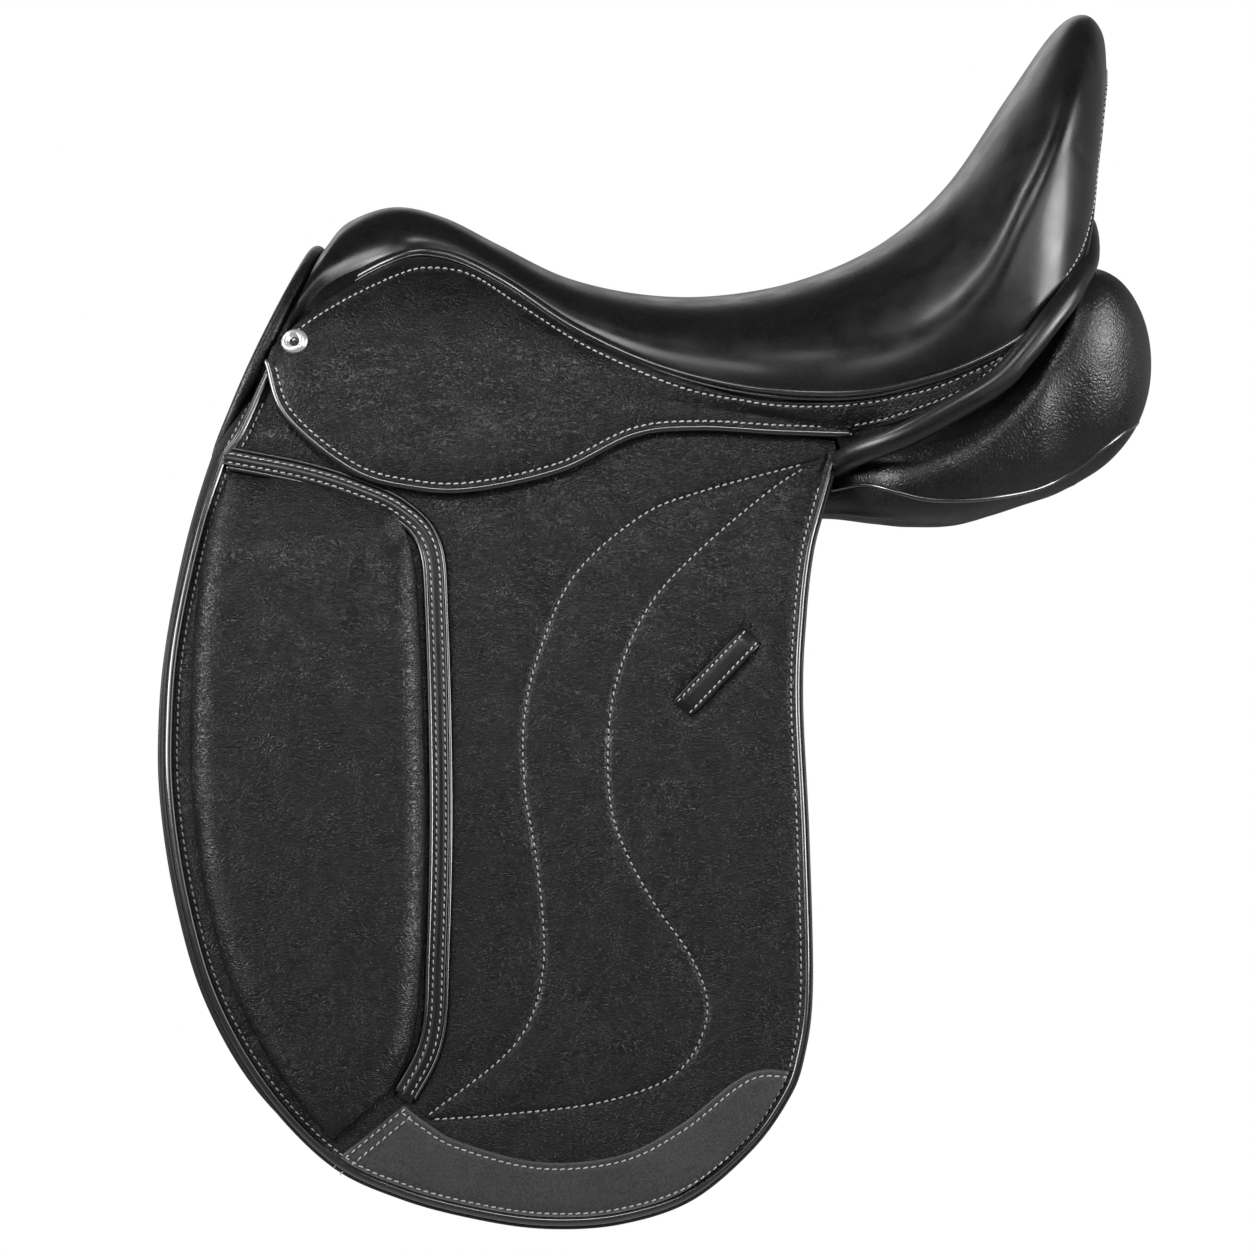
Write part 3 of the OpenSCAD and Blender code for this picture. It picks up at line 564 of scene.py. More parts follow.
seat_top, seat_under = (seat_grid(0, LAST_RIB, 241, -1, 1, 141, depth) for depth in (0, COVER_T))
seat = make("seat_leather_cover", shell(seat_top, seat_under), SEAT, stands_for=["seat_cover"])

foam_in = COVER_T + SOFT_TOUCH
web_in = foam_in + FOAM_T + SOFT_TOUCH
cross_in = web_in + WEB_T + SOFT_TOUCH
foam = make("seat_foam_pad", seat_layer(3.5, 13.5, 61, -0.75, 0.75, 41, foam_in, foam_in + FOAM_T), FOAM,
            stands_for=["seat_foam"])
make("seat_long_webs", join(*[seat_layer(3.5, 11, 61, edge, edge + 0.25, 9, web_in, web_in + WEB_T)
                              for edge in (-0.375, 0.125)]), WEBBING, stands_for=["seat_web_long"])
make("seat_cross_webs", join(*[seat_layer(s, s + 1, 13, -0.75, 0.75, 61, cross_in, cross_in + WEB_T)
                               for s in (5.5, 7)]), WEBBING, stands_for=["seat_web_cross"])

# Seam where the seat leather is sewn round the cantle: up one edge, across the back and down the other
SEWN_FROM, SEWN_TO, SEWN_IN = 12.3, 14.95, 0.012
edge_s = np.linspace(SEWN_FROM, SEWN_TO, 200)
round_s = np.concatenate([edge_s, np.full(120, SEWN_TO), edge_s[::-1]]) / LAST_RIB
round_v = np.concatenate([np.full(200, SEWN_IN), np.linspace(SEWN_IN, 1 - SEWN_IN, 122)[1:-1],
                          np.full(200, 1 - SEWN_IN)])
make("cantle_seam_stitches", stitches(*row_on(seat_top, round_s, round_v), width=FINE_THREAD), THREAD)

# Piped welt under the seat's edge, and the skirt's own thinner piping beside it
LAST_ROOT = 11
SKIRT_CORNER = (-210, -106, 25.5)
ROOT_X = [-211, -187, -152, -124, -95, -60, -12, 40, 86]
TAIL_LINE = [(118, -138, -13), (149, -143, 0.8), (172.5, -141, 23.5)]
HINGE_FRONT, HINGE_BACK = (-208, 20), (88, -21)
HEAD_DROP = 7  # the flap, the sweat flap and the girth web begin this far below the hinge line


def hinge_z(x):
    slope = (HINGE_BACK[1] - HINGE_FRONT[1]) / (HINGE_BACK[0] - HINGE_FRONT[0])
    return HINGE_FRONT[1] + slope * (np.asarray(x, float) - HINGE_FRONT[0])


hinge_edge = np.stack([np.array(ROOT_X, float), hinge_z(ROOT_X) + 0.05], 1)
root_edge = np.vstack([on_side(hinge_edge, SKIRT_OUT), TAIL_LINE])
welt_s = np.linspace(0, LAST_ROOT, 320)
seam_path = spline(SEAM_LINE, welt_s)
fall_way = unit(spline(root_edge, welt_s) - seam_path)
PIPING_R, PIPING_DOWN = 1.05, 3.1
pair("seat_piping", tube(even(seam_path, 2), WELT_D / 2 - 0.1, 14), BEAD, stands_for=["SIDE_seat_welt"])
pair("skirt_piping", tube(even(seam_path + PIPING_DOWN * fall_way, 2), PIPING_R, 10), BEAD)

# Skirt above the hinge line: padded, with a stitched top edge and a tail along the seat
ROOT_BULGE = [0, 8, 12, 12, 12, 10, 6, 2.5, 1, 0.5, 0.3, 0]
TOP_ROW = [(-206, 21), (-196.6, 31.1), (-173.4, 46.6), (-145, 61), (-129.6, 64.6), (-108.9, 61), (-83.2, 45),
           (-41.9, 19.8), (9.6, -1.9), (61.2, -7), (112.7, -3.9), (143.7, 5.3), (173, 25)]
SKIRT_T = SKIRT_OUT - SKIRT_IN
PUFF = 1.5
LOWER_ROW, TAIL_ROW = 4.0, 3.2
TAIL_FROM, TAIL_BEAD_R = 8.0, 1.6


def groove(d, width=1.0, depth=0.65):
    return -depth * np.exp(-((d / width) ** 2))


def rolled(e, radius=2.4):
    """Drop of a rounded edge at distance e inside it."""
    t = 1 - np.clip(e / radius, 0, 1)
    return -radius * (1 - np.sqrt(1 - t**2 * 0.98))


def skirt_root_grid(rows, cols):
    s = np.linspace(0, LAST_ROOT, rows)[:, None] + np.zeros((1, cols))
    v = np.linspace(0, 1, cols)[None] + np.zeros((rows, 1))
    seam, edge = spline([SKIRT_CORNER] + SEAM_LINE[1:], s), spline(root_edge, s)
    top = seam + (SEAM_LIFT + 1) * unit(edge - seam)
    fall = edge - top
    length = np.linalg.norm(fall, axis=-1)
    out = unit(np.stack([0 * s, fall[..., 2], -fall[..., 1]], -1))
    bulge = np.maximum(spline(np.array(ROOT_BULGE)[:, None], s)[..., 0], 0.02)
    # the swell is skewed so that the skirt leaves the hinge line in the direction of the leaf below it
    lean = np.arctan2(-fall[..., 1], -fall[..., 2]) - np.arcsin((edge[..., 2] - SIDE_Z) / (SIDE_R + SKIRT_OUT))
    turn = np.clip(np.tan(lean) * length / (4 * bulge), -0.5, 1.3)
    skew = np.where(s < 8, (1 - turn) / (1 - turn / 2), 0)
    swell = 4 * bulge / (1 - skew / 2) * v * (1 - v) * (1 - skew * v)
    base = top + fall * v[..., None] + out * swell[..., None]
    normal = -grid_normals(base)
    t, below = v * length, (1 - v) * length
    row_x, row_z = curve(TOP_ROW, 2).T
    wanted = np.interp(base[:, 0, 0], row_x, row_z)
    row = np.array([np.interp(-z, -line, far) for z, line, far in zip(wanted, base[..., 2], t)])[:, None]
    row = np.clip(row, 2.6, 0.6 * length)
    room = np.maximum(length - row, 0.5)
    tail = smooth(s, 7.7, 8.4)
    puffed = PUFF * np.minimum(1, room / 14) * smooth(t - row, 0, np.minimum(11, 0.6 * room))
    relief = puffed * (1 - tail) + rolled(t) + groove(t - row) + 0.5 * np.sin(math.pi * np.clip(t / row, 0, 1))
    relief += tail * (rolled(below, 2) + groove(below - TAIL_ROW, 0.8, 0.5))
    relief *= smooth(length, 1, 12)
    outer = base + normal * relief[..., None]
    under = outer - normal * (SKIRT_T * smooth(length, 0, 9) + 0.6)[..., None]
    return outer, under, row / length, 1 - TAIL_ROW / length


root_top, root_under, row_share, tail_share = skirt_root_grid(331, 61)
pair("skirt_top", outward(shell(root_top, root_under)), GRAIN, stands_for=["SIDE_skirt_root"])
share = np.linspace(0, 1, 331)
use = (share > 0.045) & (share < 0.985)
upper_row = row_on(root_top, share[use], row_share[:, 0][use])
use = (share > TAIL_FROM / LAST_ROOT) & (share < 0.975)
tail_row = row_on(root_top, share[use], tail_share[:, 0][use])
facing = [np.sign((n * (0, -1, 0.3)).sum()) for _, n in (upper_row, tail_row)]
pair("skirt_top_stitches", join(stitches(upper_row[0], upper_row[1] * facing[0]),
                                stitches(tail_row[0], tail_row[1] * facing[1], width=FINE_THREAD)), THREAD)
tail_bead = root_top[share > (TAIL_FROM + 0.05) / LAST_ROOT, -1] + (0, 0.4, 0.2)
pair("skirt_tail_bead", tube(even(tail_bead, 2), TAIL_BEAD_R, 12), BEAD)

# Skirt below the hinge line: the leaf, with its stitch row and bead, left unattached to any body
LEAF_LOW = [(-213.5, 14), (-203, -14), (-169, -42), (-138, -51), (-107, -52), (-62, -42), (-24, -24),
            (9, -20.5), (48, -22.5), (86, -23.8)]
LEAF_BEAD_R, LEAF_BEAD_AT = 1.8, 18.9
leaf_low = curve(LEAF_LOW, 1.6)
root_low = even(root_top[share <= (len(ROOT_X) - 1) / LAST_ROOT, -1], 1.6)
leaf_top = root_low[::-1, [0, 2]]
leaf_loop = np.vstack([leaf_low, leaf_top])
hinge_depth = np.hypot(root_low[:, 1] - SIDE_Y, root_low[:, 2] - SIDE_Z) - SIDE_R


def leaf_front(xz):
    e, along = nearest(xz, leaf_low)
    drop = np.interp(xz[:, 0], root_low[:, 0], root_low[:, 2]) - xz[:, 1]
    at_hinge = np.interp(xz[:, 0], root_low[:, 0], hinge_depth)
    room = np.clip((drop + e) / 20, 0, 1)
    gather = 0.16 * np.sin(along * 2 * math.pi / STITCH_PITCH) * np.exp(-((e - LOWER_ROW - 2) / 2.5) ** 2)
    own = rolled(e) + room * (groove(e - LOWER_ROW, 1.1, 0.8) + 2.2 * smooth(e, LOWER_ROW, 15) + gather)
    w = smooth(drop, 0, 10)
    return at_hinge * (1 - w) + (SKIRT_OUT + own) * w


leaf = sheet(leaf_loop, leaf_front, level(SKIRT_IN), (), 2.4, [leaf_low],
             (0.4, 0.9, 1.6, 2.4, 3.2, 4, 4.8, 5.8, 7, 8.5))
leaf_row = offset(leaf_low, LOWER_ROW)[2:-1]
leaf_bead = on_side(offset(leaf_low, 0.6), LEAF_BEAD_AT)
leaf_pieces = [
    pair("skirt_leaf", leaf, GRAIN, None, ["SIDE_skirt"]),
    pair("skirt_leaf_stitches", sewn(leaf_row, leaf_front), THREAD, None),
    pair("skirt_leaf_bead", tube(leaf_bead, LEAF_BEAD_R, 12), BEAD, None)]
for both in leaf_pieces:
    bends(both)

# Chrome nail at the skirt's front corner: a dished head with a raised rim round an oval socket
nail_at, nail_way = (f[0] for f in row_on(root_top, np.array([0.42 / LAST_ROOT]), np.array([0.6])))
nail_way = unit(0.3 * nail_way * np.sign(-nail_way[1]) + (0, -0.66, 0.2))
NAIL_SHIFT, NAIL_OUT = (2, 0, -2.5), 0.6
nail_base = nail_at + NAIL_SHIFT + NAIL_OUT * nail_way
NAIL_PROFILE = [(0.01, 1.5), (1.2, 1.5), (1.6, 0.9), (2.3, 0.9), (3.0, 1.1), (3.5, 2.2), (3.9, 2.5), (5.4, 2.4),
                (6.4, 1.9), (7.0, 0.9), (6.95, 0), (0.01, 0)]


def revolved(profile, at, way, oval=0.72):
    """A turned form on a base point; the part of it nearest the axis is oval, as a socket is."""
    side = unit(np.cross(way, (1, 0, 0.2)))
    up = np.cross(way, side)
    a = np.linspace(0, 2 * math.pi, 48, endpoint=False)
    rings = []
    for r, h in profile:
        squeeze = oval + (1 - oval) * float(smooth(r, 2.6, 4.2))
        rings.append(at + h * way + r * (np.cos(a)[:, None] * side + squeeze * np.sin(a)[:, None] * up))
    return outward(loft(np.array(rings)))


pair("chrome_nail", revolved(NAIL_PROFILE, nail_base, nail_way), CHROME, stands_for=["SIDE_nail"], sharp=35)


# Flap: outlines are given as x and the share of the flap's height below the hinge line's rear end

def flap_pts(points):
    return np.array([(x, HINGE_BACK[1] - share * FLAP_H) for x, share in points])


FLAP_EDGE = [(-213, -0.085), (-228, 0), (-238, 0.04), (-250, 0.141), (-260, 0.266), (-263, 0.366), (-262, 0.468),
             (-254, 0.592), (-239, 0.717), (-213, 0.829), (-178, 0.92), (-142, 0.963), (-102, 0.989), (-67, 1),
             (-31, 0.994), (4, 0.965), (34, 0.903), (52, 0.842), (60, 0.791), (64.5, 0.703), (63, 0.517),
             (60, 0.342), (62, 0.235), (66, 0.153), (73, 0.089), (80, 0.03)]
FRONT_SEAM = [(70.9, -36.4), (9.4, -52.9), (-21.3, -65.7), (-54.6, -95.4), (-72.3, -133.7), (-80.4, -169.3),
              (-79.8, -204.8), (-74.7, -235.2), (-70.6, -270.5), (-70.6, -295.8), (-77.1, -321), (-92.3, -341.2),
              (-130.2, -370.4)]
REAR_SEAM = [(70.9, -36.4), (47.8, -50.3), (9.3, -82.6), (-16.3, -110.8), (-31.6, -143.9), (-37.2, -174.4),
             (-36.6, -209.9), (-29, -235.2), (-13.8, -263), (3.9, -288.2), (12.5, -310.9), (9, -331.1),
             (-6.2, -350.2), (-41.7, -362.8), (-92.3, -368.9), (-127.7, -371.4)]
BAND_LINE = [(-236, -34.6), (-195.5, -42.6), (-168, -51), (-144.1, -62.1), (-128.7, -80.1), (-124.9, -118.4),
             (-122.4, -209.8), (-123.7, -285.6), (-126.7, -331), (-141, -361)]
BAND_HALF = 4.2
band_mid = curve(BAND_LINE, 1.6)
KEEPER_AT, KEEPER_TURN = (18.0, -145.0), math.radians(46)
flap_edge = curve(flap_pts(FLAP_EDGE), 1.6)
flap_x = np.arange(78.5, -211, -3.0)
flap_loop = np.vstack([flap_edge, np.stack([flap_x, hinge_z(flap_x) - HEAD_DROP], 1)])
front_seam, rear_seam = curve(FRONT_SEAM, 1.6), curve(REAR_SEAM, 1.6)
FLAP_FLAT = 13.9
FLAP_PUFF = 1.5


def stadium(length, width, r, steps=7):
    """A rectangle with rounded corners, turned and placed as the keeper is."""
    a = np.concatenate([np.linspace(k, k + 1, steps) * math.pi / 2 for k in range(4)])
    corner = np.repeat([(1, 1), (-1, 1), (-1, -1), (1, -1)], steps, axis=0) * (length / 2 - r, width / 2 - r)
    p = corner + r * np.stack([np.cos(a), np.sin(a)], 1)
    c, s = math.cos(KEEPER_TURN), math.sin(KEEPER_TURN)
    return p @ np.array([(c, s), (-s, c)]) + KEEPER_AT


def edge_row(xz):
    """Distance from the flap's edge to its stitch row: wider in front of the pad than at the rear."""
    return 6.3 - 1.9 * smooth(xz[:, 0], -20, 40)


WINDOW_L, WINDOW_W, WINDOW_R = 54, 17, 5
window = even(closed(stadium(WINDOW_L, WINDOW_W, WINDOW_R)), 1.6)[:-1]


def flap_front(xz):
    e, round_at = nearest(xz, flap_edge)
    in_row = e - edge_row(xz)
    seams = [nearest(xz, line) for line in (front_seam, rear_seam)]
    beside = nearest(xz, band_mid)
    gaps = np.stack([np.abs(in_row), seams[0][0], seams[1][0], np.abs(beside[0] - BAND_HALF - 0.4)])
    along = np.stack([round_at, seams[0][1], seams[1][1], beside[1]])
    near = gaps.argmin(0)
    gap = gaps.min(0)
    gather = 0.15 * np.sin(np.take_along_axis(along, near[None], 0)[0] * 2 * math.pi / STITCH_PITCH)
    puff = FLAP_PUFF * np.where((near == 0) & (in_row < 0), 0.2, 1 - np.exp(-gap / 8))
    hole = nearest(xz, closed(window))[0]
    return (FLAP_FLAT + puff + groove(gap, 1.1, 0.85) + gather * np.exp(-((gap - 2) / 2.5) ** 2)
            + rolled(hole, 2.2) + rolled(e, 1.6))


flap = sheet(flap_loop, flap_front, level(FLAP_IN), (), 2.6, [flap_edge, front_seam, rear_seam, band_mid],
             (0, 0.7, 1.4, 2.4, 3.5, 4.4, 5.4, 6.3, 7.2, 8.4), [window[::-1]])
pair("flap_leather", flap, GRAIN, "SIDE_flap", ["SIDE_flap"])


def towards_rear(path):
    return smooth(path[:, 0], -20, 45)


def bead_r(path):
    """Radius of the bead round the flap, which is thinner at the rear."""
    return 2.3 - 1.1 * towards_rear(path)


bead_path = flap_edge + (offset(flap_edge, 1) - flap_edge) * bead_r(flap_edge)[:, None]
bead_depth = 14.4 - 0.6 * towards_rear(bead_path)
pair("flap_bead", tube(on_side(bead_path, bead_depth), bead_r(bead_path), 12), BEAD, "SIDE_flap")
UNDER_EDGE_AT, UNDER_EDGE_R, UNDER_EDGE_FROM = 11.2, 1.2, 60
under_edge = on_side(offset(flap_edge, -0.6)[UNDER_EDGE_FROM:], UNDER_EDGE_AT)
pair("flap_under_edge", tube(under_edge, UNDER_EDGE_R, 8), STRAP, "SIDE_flap")

# Knee pad: a crowned cushion sewn on in front
PAD_FRONT = [(-232, 0.06), (-242, 0.125), (-248.5, 0.24), (-250.5, 0.366), (-249, 0.467), (-241.5, 0.592),
             (-226, 0.715), (-203, 0.815), (-190, 0.858), (-177, 0.894)]
PAD_REAR = [(-141, 0.128), (-136.5, 0.172), (-133, 0.27), (-131, 0.38), (-130, 0.47), (-130.5, 0.585),
            (-132, 0.68), (-136, 0.765), (-141, 0.8), (-148, 0.832)]
PAD_LOW = [(-177, 0.894), (-162.5, 0.863), (-148, 0.832)]
PAD_TOP = [(-232, 0.06), (-195.3, 0.064), (-159.4, 0.089), (-146.6, 0.105), (-141, 0.128)]
PAD_CROWN, PAD_BACK = 15.0, 14.6
PAD_REACH = ((PAD_FRONT, 15), (PAD_REAR, 15), (PAD_TOP, 60), (PAD_LOW, 24))
pad_loop = np.vstack([curve(flap_pts(PAD_FRONT), 2), curve(flap_pts(PAD_LOW), 2)[1:-1],
                      curve(flap_pts(PAD_REAR[::-1]), 2), curve(flap_pts(PAD_TOP[::-1]), 2)[1:-1]])


def pad_front(xz):
    swell = np.ones(len(xz))
    for line, reach in PAD_REACH:
        from_edge = nearest(xz, curve(flap_pts(line), 3))[0] / reach
        swell *= (1 - (1 - np.clip(from_edge, 0, 1)) ** 2.2) ** (1 / 1.7)
    crown = 0.85 + 0.15 * smooth(nearest(xz, closed(pad_loop))[0], 10, 52)
    return TRIM_IN + 0.4 + PAD_CROWN * swell * crown


pad = sheet(pad_loop, pad_front, level(PAD_BACK), (0.5, 1.2, 2.2, 3.6, 5.2, 7), 2.8)
for piece in pair("knee_pad_leather", pad, GRAIN, "SIDE_flap", ["SIDE_knee_pad"]):
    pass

# Double-stitched band round the pad's top and rear, with a piping along each side
BAND_ROW, BAND_BACK, BAND_PIPING_AT = 2.3, 13.6, 15.6
band_loop = np.vstack([offset(band_mid, BAND_HALF), offset(band_mid, -BAND_HALF)[::-1]])


def band_front(xz):
    g = nearest(xz, band_mid)[0]
    middle = 0.3 * np.exp(-((g / 1.6) ** 2))
    return TRIM_IN + 1.5 + groove(g - BAND_ROW, 0.7, 0.35) + rolled(BAND_HALF - g, 1.3) + middle


band = sheet(band_loop, band_front, level(BAND_BACK), (), 3, [band_mid], (0, 0.8, 1.6, 2.3, 3, 3.6, 4))
pair("pad_band", band, TRIM, "SIDE_flap", ["SIDE_seam_band"])
band_rows = [sewn(offset(band_mid, d)[2:-2], band_front, width=FINE_THREAD) for d in (BAND_ROW, -BAND_ROW)]
pair("pad_band_stitches", join(*band_rows), THREAD, "SIDE_flap")
for name, beside, r in (("pad_piping", -5.1, 1.3), ("band_piping", 5, 0.8)):
    pipe = on_side(offset(band_mid, beside)[3:-2], BAND_PIPING_AT)
    pair(name, tube(pipe, r, 10), BEAD, "SIDE_flap")

# Smooth patch over the toe
PATCH_EDGE = [(-178.2, -394), (-141.3, -363.8), (-130.2, -372.3), (-112.4, -382.4), (-72, -392.5), (-31.5, -389),
              (-1.2, -373.8), (24.1, -353.7), (39.3, -346.1), (58, -347.1)]
PATCH_T, PATCH_BACK, PATCH_ROW = 1.5, 13.0, 3.4
cross_end = even(PATCH_EDGE[:2], 1.6)
cross_way = np.array((0.63, -0.776))
patch_top = np.vstack([cross_end[:-1], curve(PATCH_EDGE[1:], 1.6)])
inner_edge = offset(flap_edge, 4.6)
ends = [int(np.argmin(np.linalg.norm(inner_edge - p, axis=1))) for p in (patch_top[0], patch_top[-1])]
patch_loop = np.vstack([inner_edge[ends[0]:ends[1] + 1], patch_top[::-1]])


def patch_front(xz):
    e = nearest(xz, patch_top)[0]
    low = nearest(xz, flap_edge)[0] - edge_row(xz)
    return (FLAP_FLAT + PATCH_T + 0.2 + 0.7 * (1 - np.exp(-np.abs(low) / 7)) + groove(low, 1.1, 0.6)
            + rolled(e, 1.3) + groove(e - PATCH_ROW, 0.9, 0.4))


patch = sheet(patch_loop, patch_front, level(PATCH_BACK), (), 2.6, [patch_top, flap_edge],
              (0, 0.6, 1.3, 2.4, 3.4, 4.4, 5.6, 6.3, 7.2, 8.4))
pair("toe_patch_leather", patch, PATCH, "SIDE_flap", ["SIDE_toe_patch"])


def flap_top(xz):
    return np.where(inside(xz, patch_loop), patch_front(xz), flap_front(xz))


round_row = flap_edge + (offset(flap_edge, 1) - flap_edge) * edge_row(flap_edge)[:, None]
rows = [front_seam[6:-1], rear_seam[6:-1], round_row[12:-12], offset(patch_top, -PATCH_ROW)[len(cross_end):-3]]
rows += [cross_end + d * cross_way for d in (2.2, 7)]
pair("flap_stitches", join(*[sewn(even(row, 1.6), flap_top) for row in rows]), THREAD, "SIDE_flap")

# Keeper: a stitched strap across its window, both ends sunk under the flap's leather
KEEPER_HALF_L, KEEPER_HALF_W, KEEPER_T = 31.0, 6.3, 2.0
KEEPER_ROW, KEEPER_SEWN, KEEPER_PITCH, KEEPER_STITCH = 4.2, 25, 3.4, 2.4
keeper_axis = np.array((math.cos(KEEPER_TURN), math.sin(KEEPER_TURN)))
keeper_across = np.array((-keeper_axis[1], keeper_axis[0]))


def keeper_front(xz):
    t, w = (xz - KEEPER_AT) @ keeper_axis, np.abs((xz - KEEPER_AT) @ keeper_across)
    bow = 1.3 - 4.2 * smooth(np.abs(t), 20, 30)
    return FLAP_OUT + bow + rolled(KEEPER_HALF_W - w, 1.4) + groove(w - KEEPER_ROW, 0.8, 0.4)


keeper_loop = even(closed(stadium(2 * KEEPER_HALF_L, 2 * KEEPER_HALF_W, 2)), 1.2)[:-1]
keeper = sheet(keeper_loop, keeper_front, lambda xz: keeper_front(xz) - KEEPER_T, (0.5, 1.1, 1.8, 2.6), 1.3)
pair("keeper_strap", keeper, TRIM, "SIDE_flap", ["SIDE_keeper"])
keeper_line = np.array(KEEPER_AT) + np.linspace(-KEEPER_SEWN, KEEPER_SEWN, 40)[:, None] * keeper_axis
keeper_rows = [sewn(keeper_line + w * keeper_across, keeper_front, length=KEEPER_STITCH, width=FINE_THREAD,
                    pitch=KEEPER_PITCH) for w in (KEEPER_ROW, -KEEPER_ROW)]
pair("keeper_stitches", join(*keeper_rows), THREAD, "SIDE_flap")

# Sweat flap next to the horse
SWEAT_EDGE = [(-222, -0.065), (-233, -0.01), (-242, 0.037), (-254, 0.141), (-263.5, 0.266), (-267, 0.366),
              (-266, 0.468), (-258, 0.592), (-243, 0.717), (-217, 0.829), (-181, 0.912), (-142, 0.948),
              (-102, 0.968), (-67, 0.978), (-31, 0.97), (0, 0.938), (26, 0.879), (42, 0.82), (50, 0.765),
              (53, 0.69), (50, 0.342), (50, 0.146), (52, 0.04)]
SWEAT_ROW = 5
sweat_edge = curve(flap_pts(SWEAT_EDGE), 2.4)
sweat_x = np.arange(50, -214, -4.0)
sweat_loop = np.vstack([sweat_edge, np.stack([sweat_x, hinge_z(sweat_x) - HEAD_DROP], 1)])


def sweat_front(xz):
    e = nearest(xz, sweat_edge)[0]
    return SWEAT_OUT + rolled(e, 1.4) + groove(e - SWEAT_ROW, 0.9, 0.5)


def sweat_back(xz):
    return -rolled(nearest(xz, sweat_edge)[0], 1.4)


sweat_flap = sheet(sweat_loop, sweat_front, sweat_back, (), 5, [sweat_edge], (0.5, 1.2, 2.2, 3.6, 5, 6.4))
pair("sweat_flap_leather", sweat_flap, STRAP, stands_for=["SIDE_sweat_flap"])
pair("sweat_flap_stitches", sewn(offset(sweat_edge, SWEAT_ROW)[4:-4], sweat_front), THREAD)

# Girth straps and the webs that carry them
BILLET_X, BILLET_Z = {"front": -98.0, "rear": -2.0}, -46.0
BILLET_HALF, BILLET_L, BILLET_TIP = 14.0, 350.0, 18.0
HOLE_R, HOLE_PITCH, HOLE_COUNT, FIRST_HOLE = 2.6, 25.0, 6, 60.0


def circle(x, z, r, steps=20):
    a = np.linspace(0, 2 * math.pi, steps, endpoint=False)
    return np.stack([x + r * np.cos(a), z + r * np.sin(a)], 1)


for which, x in BILLET_X.items():
    a = np.linspace(0, math.pi, 19)
    top = np.stack([BILLET_HALF * np.cos(a), BILLET_HALF * np.sin(a)], 1)
    low = np.array([(-BILLET_HALF, BILLET_TIP - BILLET_L), (-BILLET_HALF / 2, -BILLET_L),
                    (BILLET_HALF / 2, -BILLET_L), (BILLET_HALF, BILLET_TIP - BILLET_L), (BILLET_HALF, 0)])
    loop = even(np.vstack([top, low]), 3)[:-1] + (x, BILLET_Z)
    rise = BILLET_Z - BILLET_L + FIRST_HOLE
    holes = [circle(x, rise + i * HOLE_PITCH, HOLE_R)[::-1] for i in range(HOLE_COUNT)]
    form = sheet(loop, lambda q: BILLET_OUT + rolled(nearest(q, closed(loop))[0], 1.2), level(BILLET_IN),
                 (0.5, 1.2, 2.4), 4, holes=holes)
    pair(f"{which}_girth_strap", form, STRAP, f"SIDE_{which}_billet", [f"SIDE_{which}_billet"])
    row = offset(even(np.vstack([low[3:], top, low[:1]]), 2) + (x, BILLET_Z), 3)
    pair(f"{which}_girth_strap_stitches", sewn(row, level(BILLET_OUT)), THREAD, f"SIDE_{which}_billet")

WEB_REACH, SWING_GAP = BILLET_HALF + 8, 1.2
web_x = (BILLET_X["rear"] + WEB_REACH, BILLET_X["front"] - WEB_REACH)


def web_notch(x):
    """The lower edge of the web round a strap's top end, from left to right."""
    r = BILLET_HALF + SWING_GAP
    a = np.linspace(math.pi, 0, 15)
    return np.stack([x + r * np.cos(a), BILLET_Z + r * np.sin(a)], 1)


web_loop = np.vstack([[(web_x[1], BILLET_Z)], web_notch(BILLET_X["front"]), web_notch(BILLET_X["rear"]),
                      [(web_x[0], BILLET_Z)], [(x, hinge_z(x) - HEAD_DROP) for x in web_x]])
girth_web = sheet(even(closed(web_loop), 2)[:-1], level(BILLET_OUT), level(BILLET_IN), (), 4)
pair("girth_webbing", girth_web, WEBBING, stands_for=["SIDE_girth_web"])

# Wool-stuffed panels: x, middle y and z, half width, half thickness and tilt of each section
PANEL_ROWS = [(-214, -104, -85, 20, 5, 68), (-196, -102, -95, 36, 10, 68), (-150, -97, -102, 43, 13, 66),
              (-112, -91, -98, 47, 15, 58), (-60, -86, -64, 44, 18, 46), (0, -72, -42, 38, 21, 33),
              (50, -68, -39, 34, 21, 27), (80, -75, -38, 40, 21, 22), (104, -88, -37, 53, 23, 19),
              (124, -91, -36, 57, 26, 18), (150, -90, -32, 57, 31, 15), (180, -86, -15, 55, 41, 12),
              (192, -83.5, -4, 51.5, 49, 10), (205, -80, 7.5, 50.5, 55, 8), (224, -75, 13, 50.5, 55, 5),
              (238, -71, 14, 30, 24, 2), (243.5, -69, 14, 16, 12, 0)]
PANEL_POWER = 2 / 2.5
PANEL_DOME = 203.0
DOME_WIDE, DOME_THICK = 50.5, 54.5


def panel_point(s, a):
    """A point on the left panel: section s, and a turning from its outer edge over its top."""
    x, y, z, wide, thick, tilt = np.moveaxis(spline(PANEL_ROWS, s), -1, 0)
    dome = np.sqrt(np.clip(1 - ((x - PANEL_DOME) / (PANEL_ROWS[-1][0] + 0.1 - PANEL_DOME)) ** 2, 0, 1))
    wide = np.where(x > PANEL_DOME, DOME_WIDE * dome, wide)
    thick = np.where(x > PANEL_DOME, DOME_THICK * dome, thick)
    tilt = np.radians(tilt)
    p = wide * np.sign(np.cos(a)) * np.abs(np.cos(a)) ** PANEL_POWER
    q = thick * np.sign(np.sin(a)) * np.abs(np.sin(a)) ** PANEL_POWER
    across, up = p * np.cos(tilt) - q * np.sin(tilt), p * np.sin(tilt) + q * np.cos(tilt)
    return np.stack([x + 0 * a, y + across, z + up], -1)


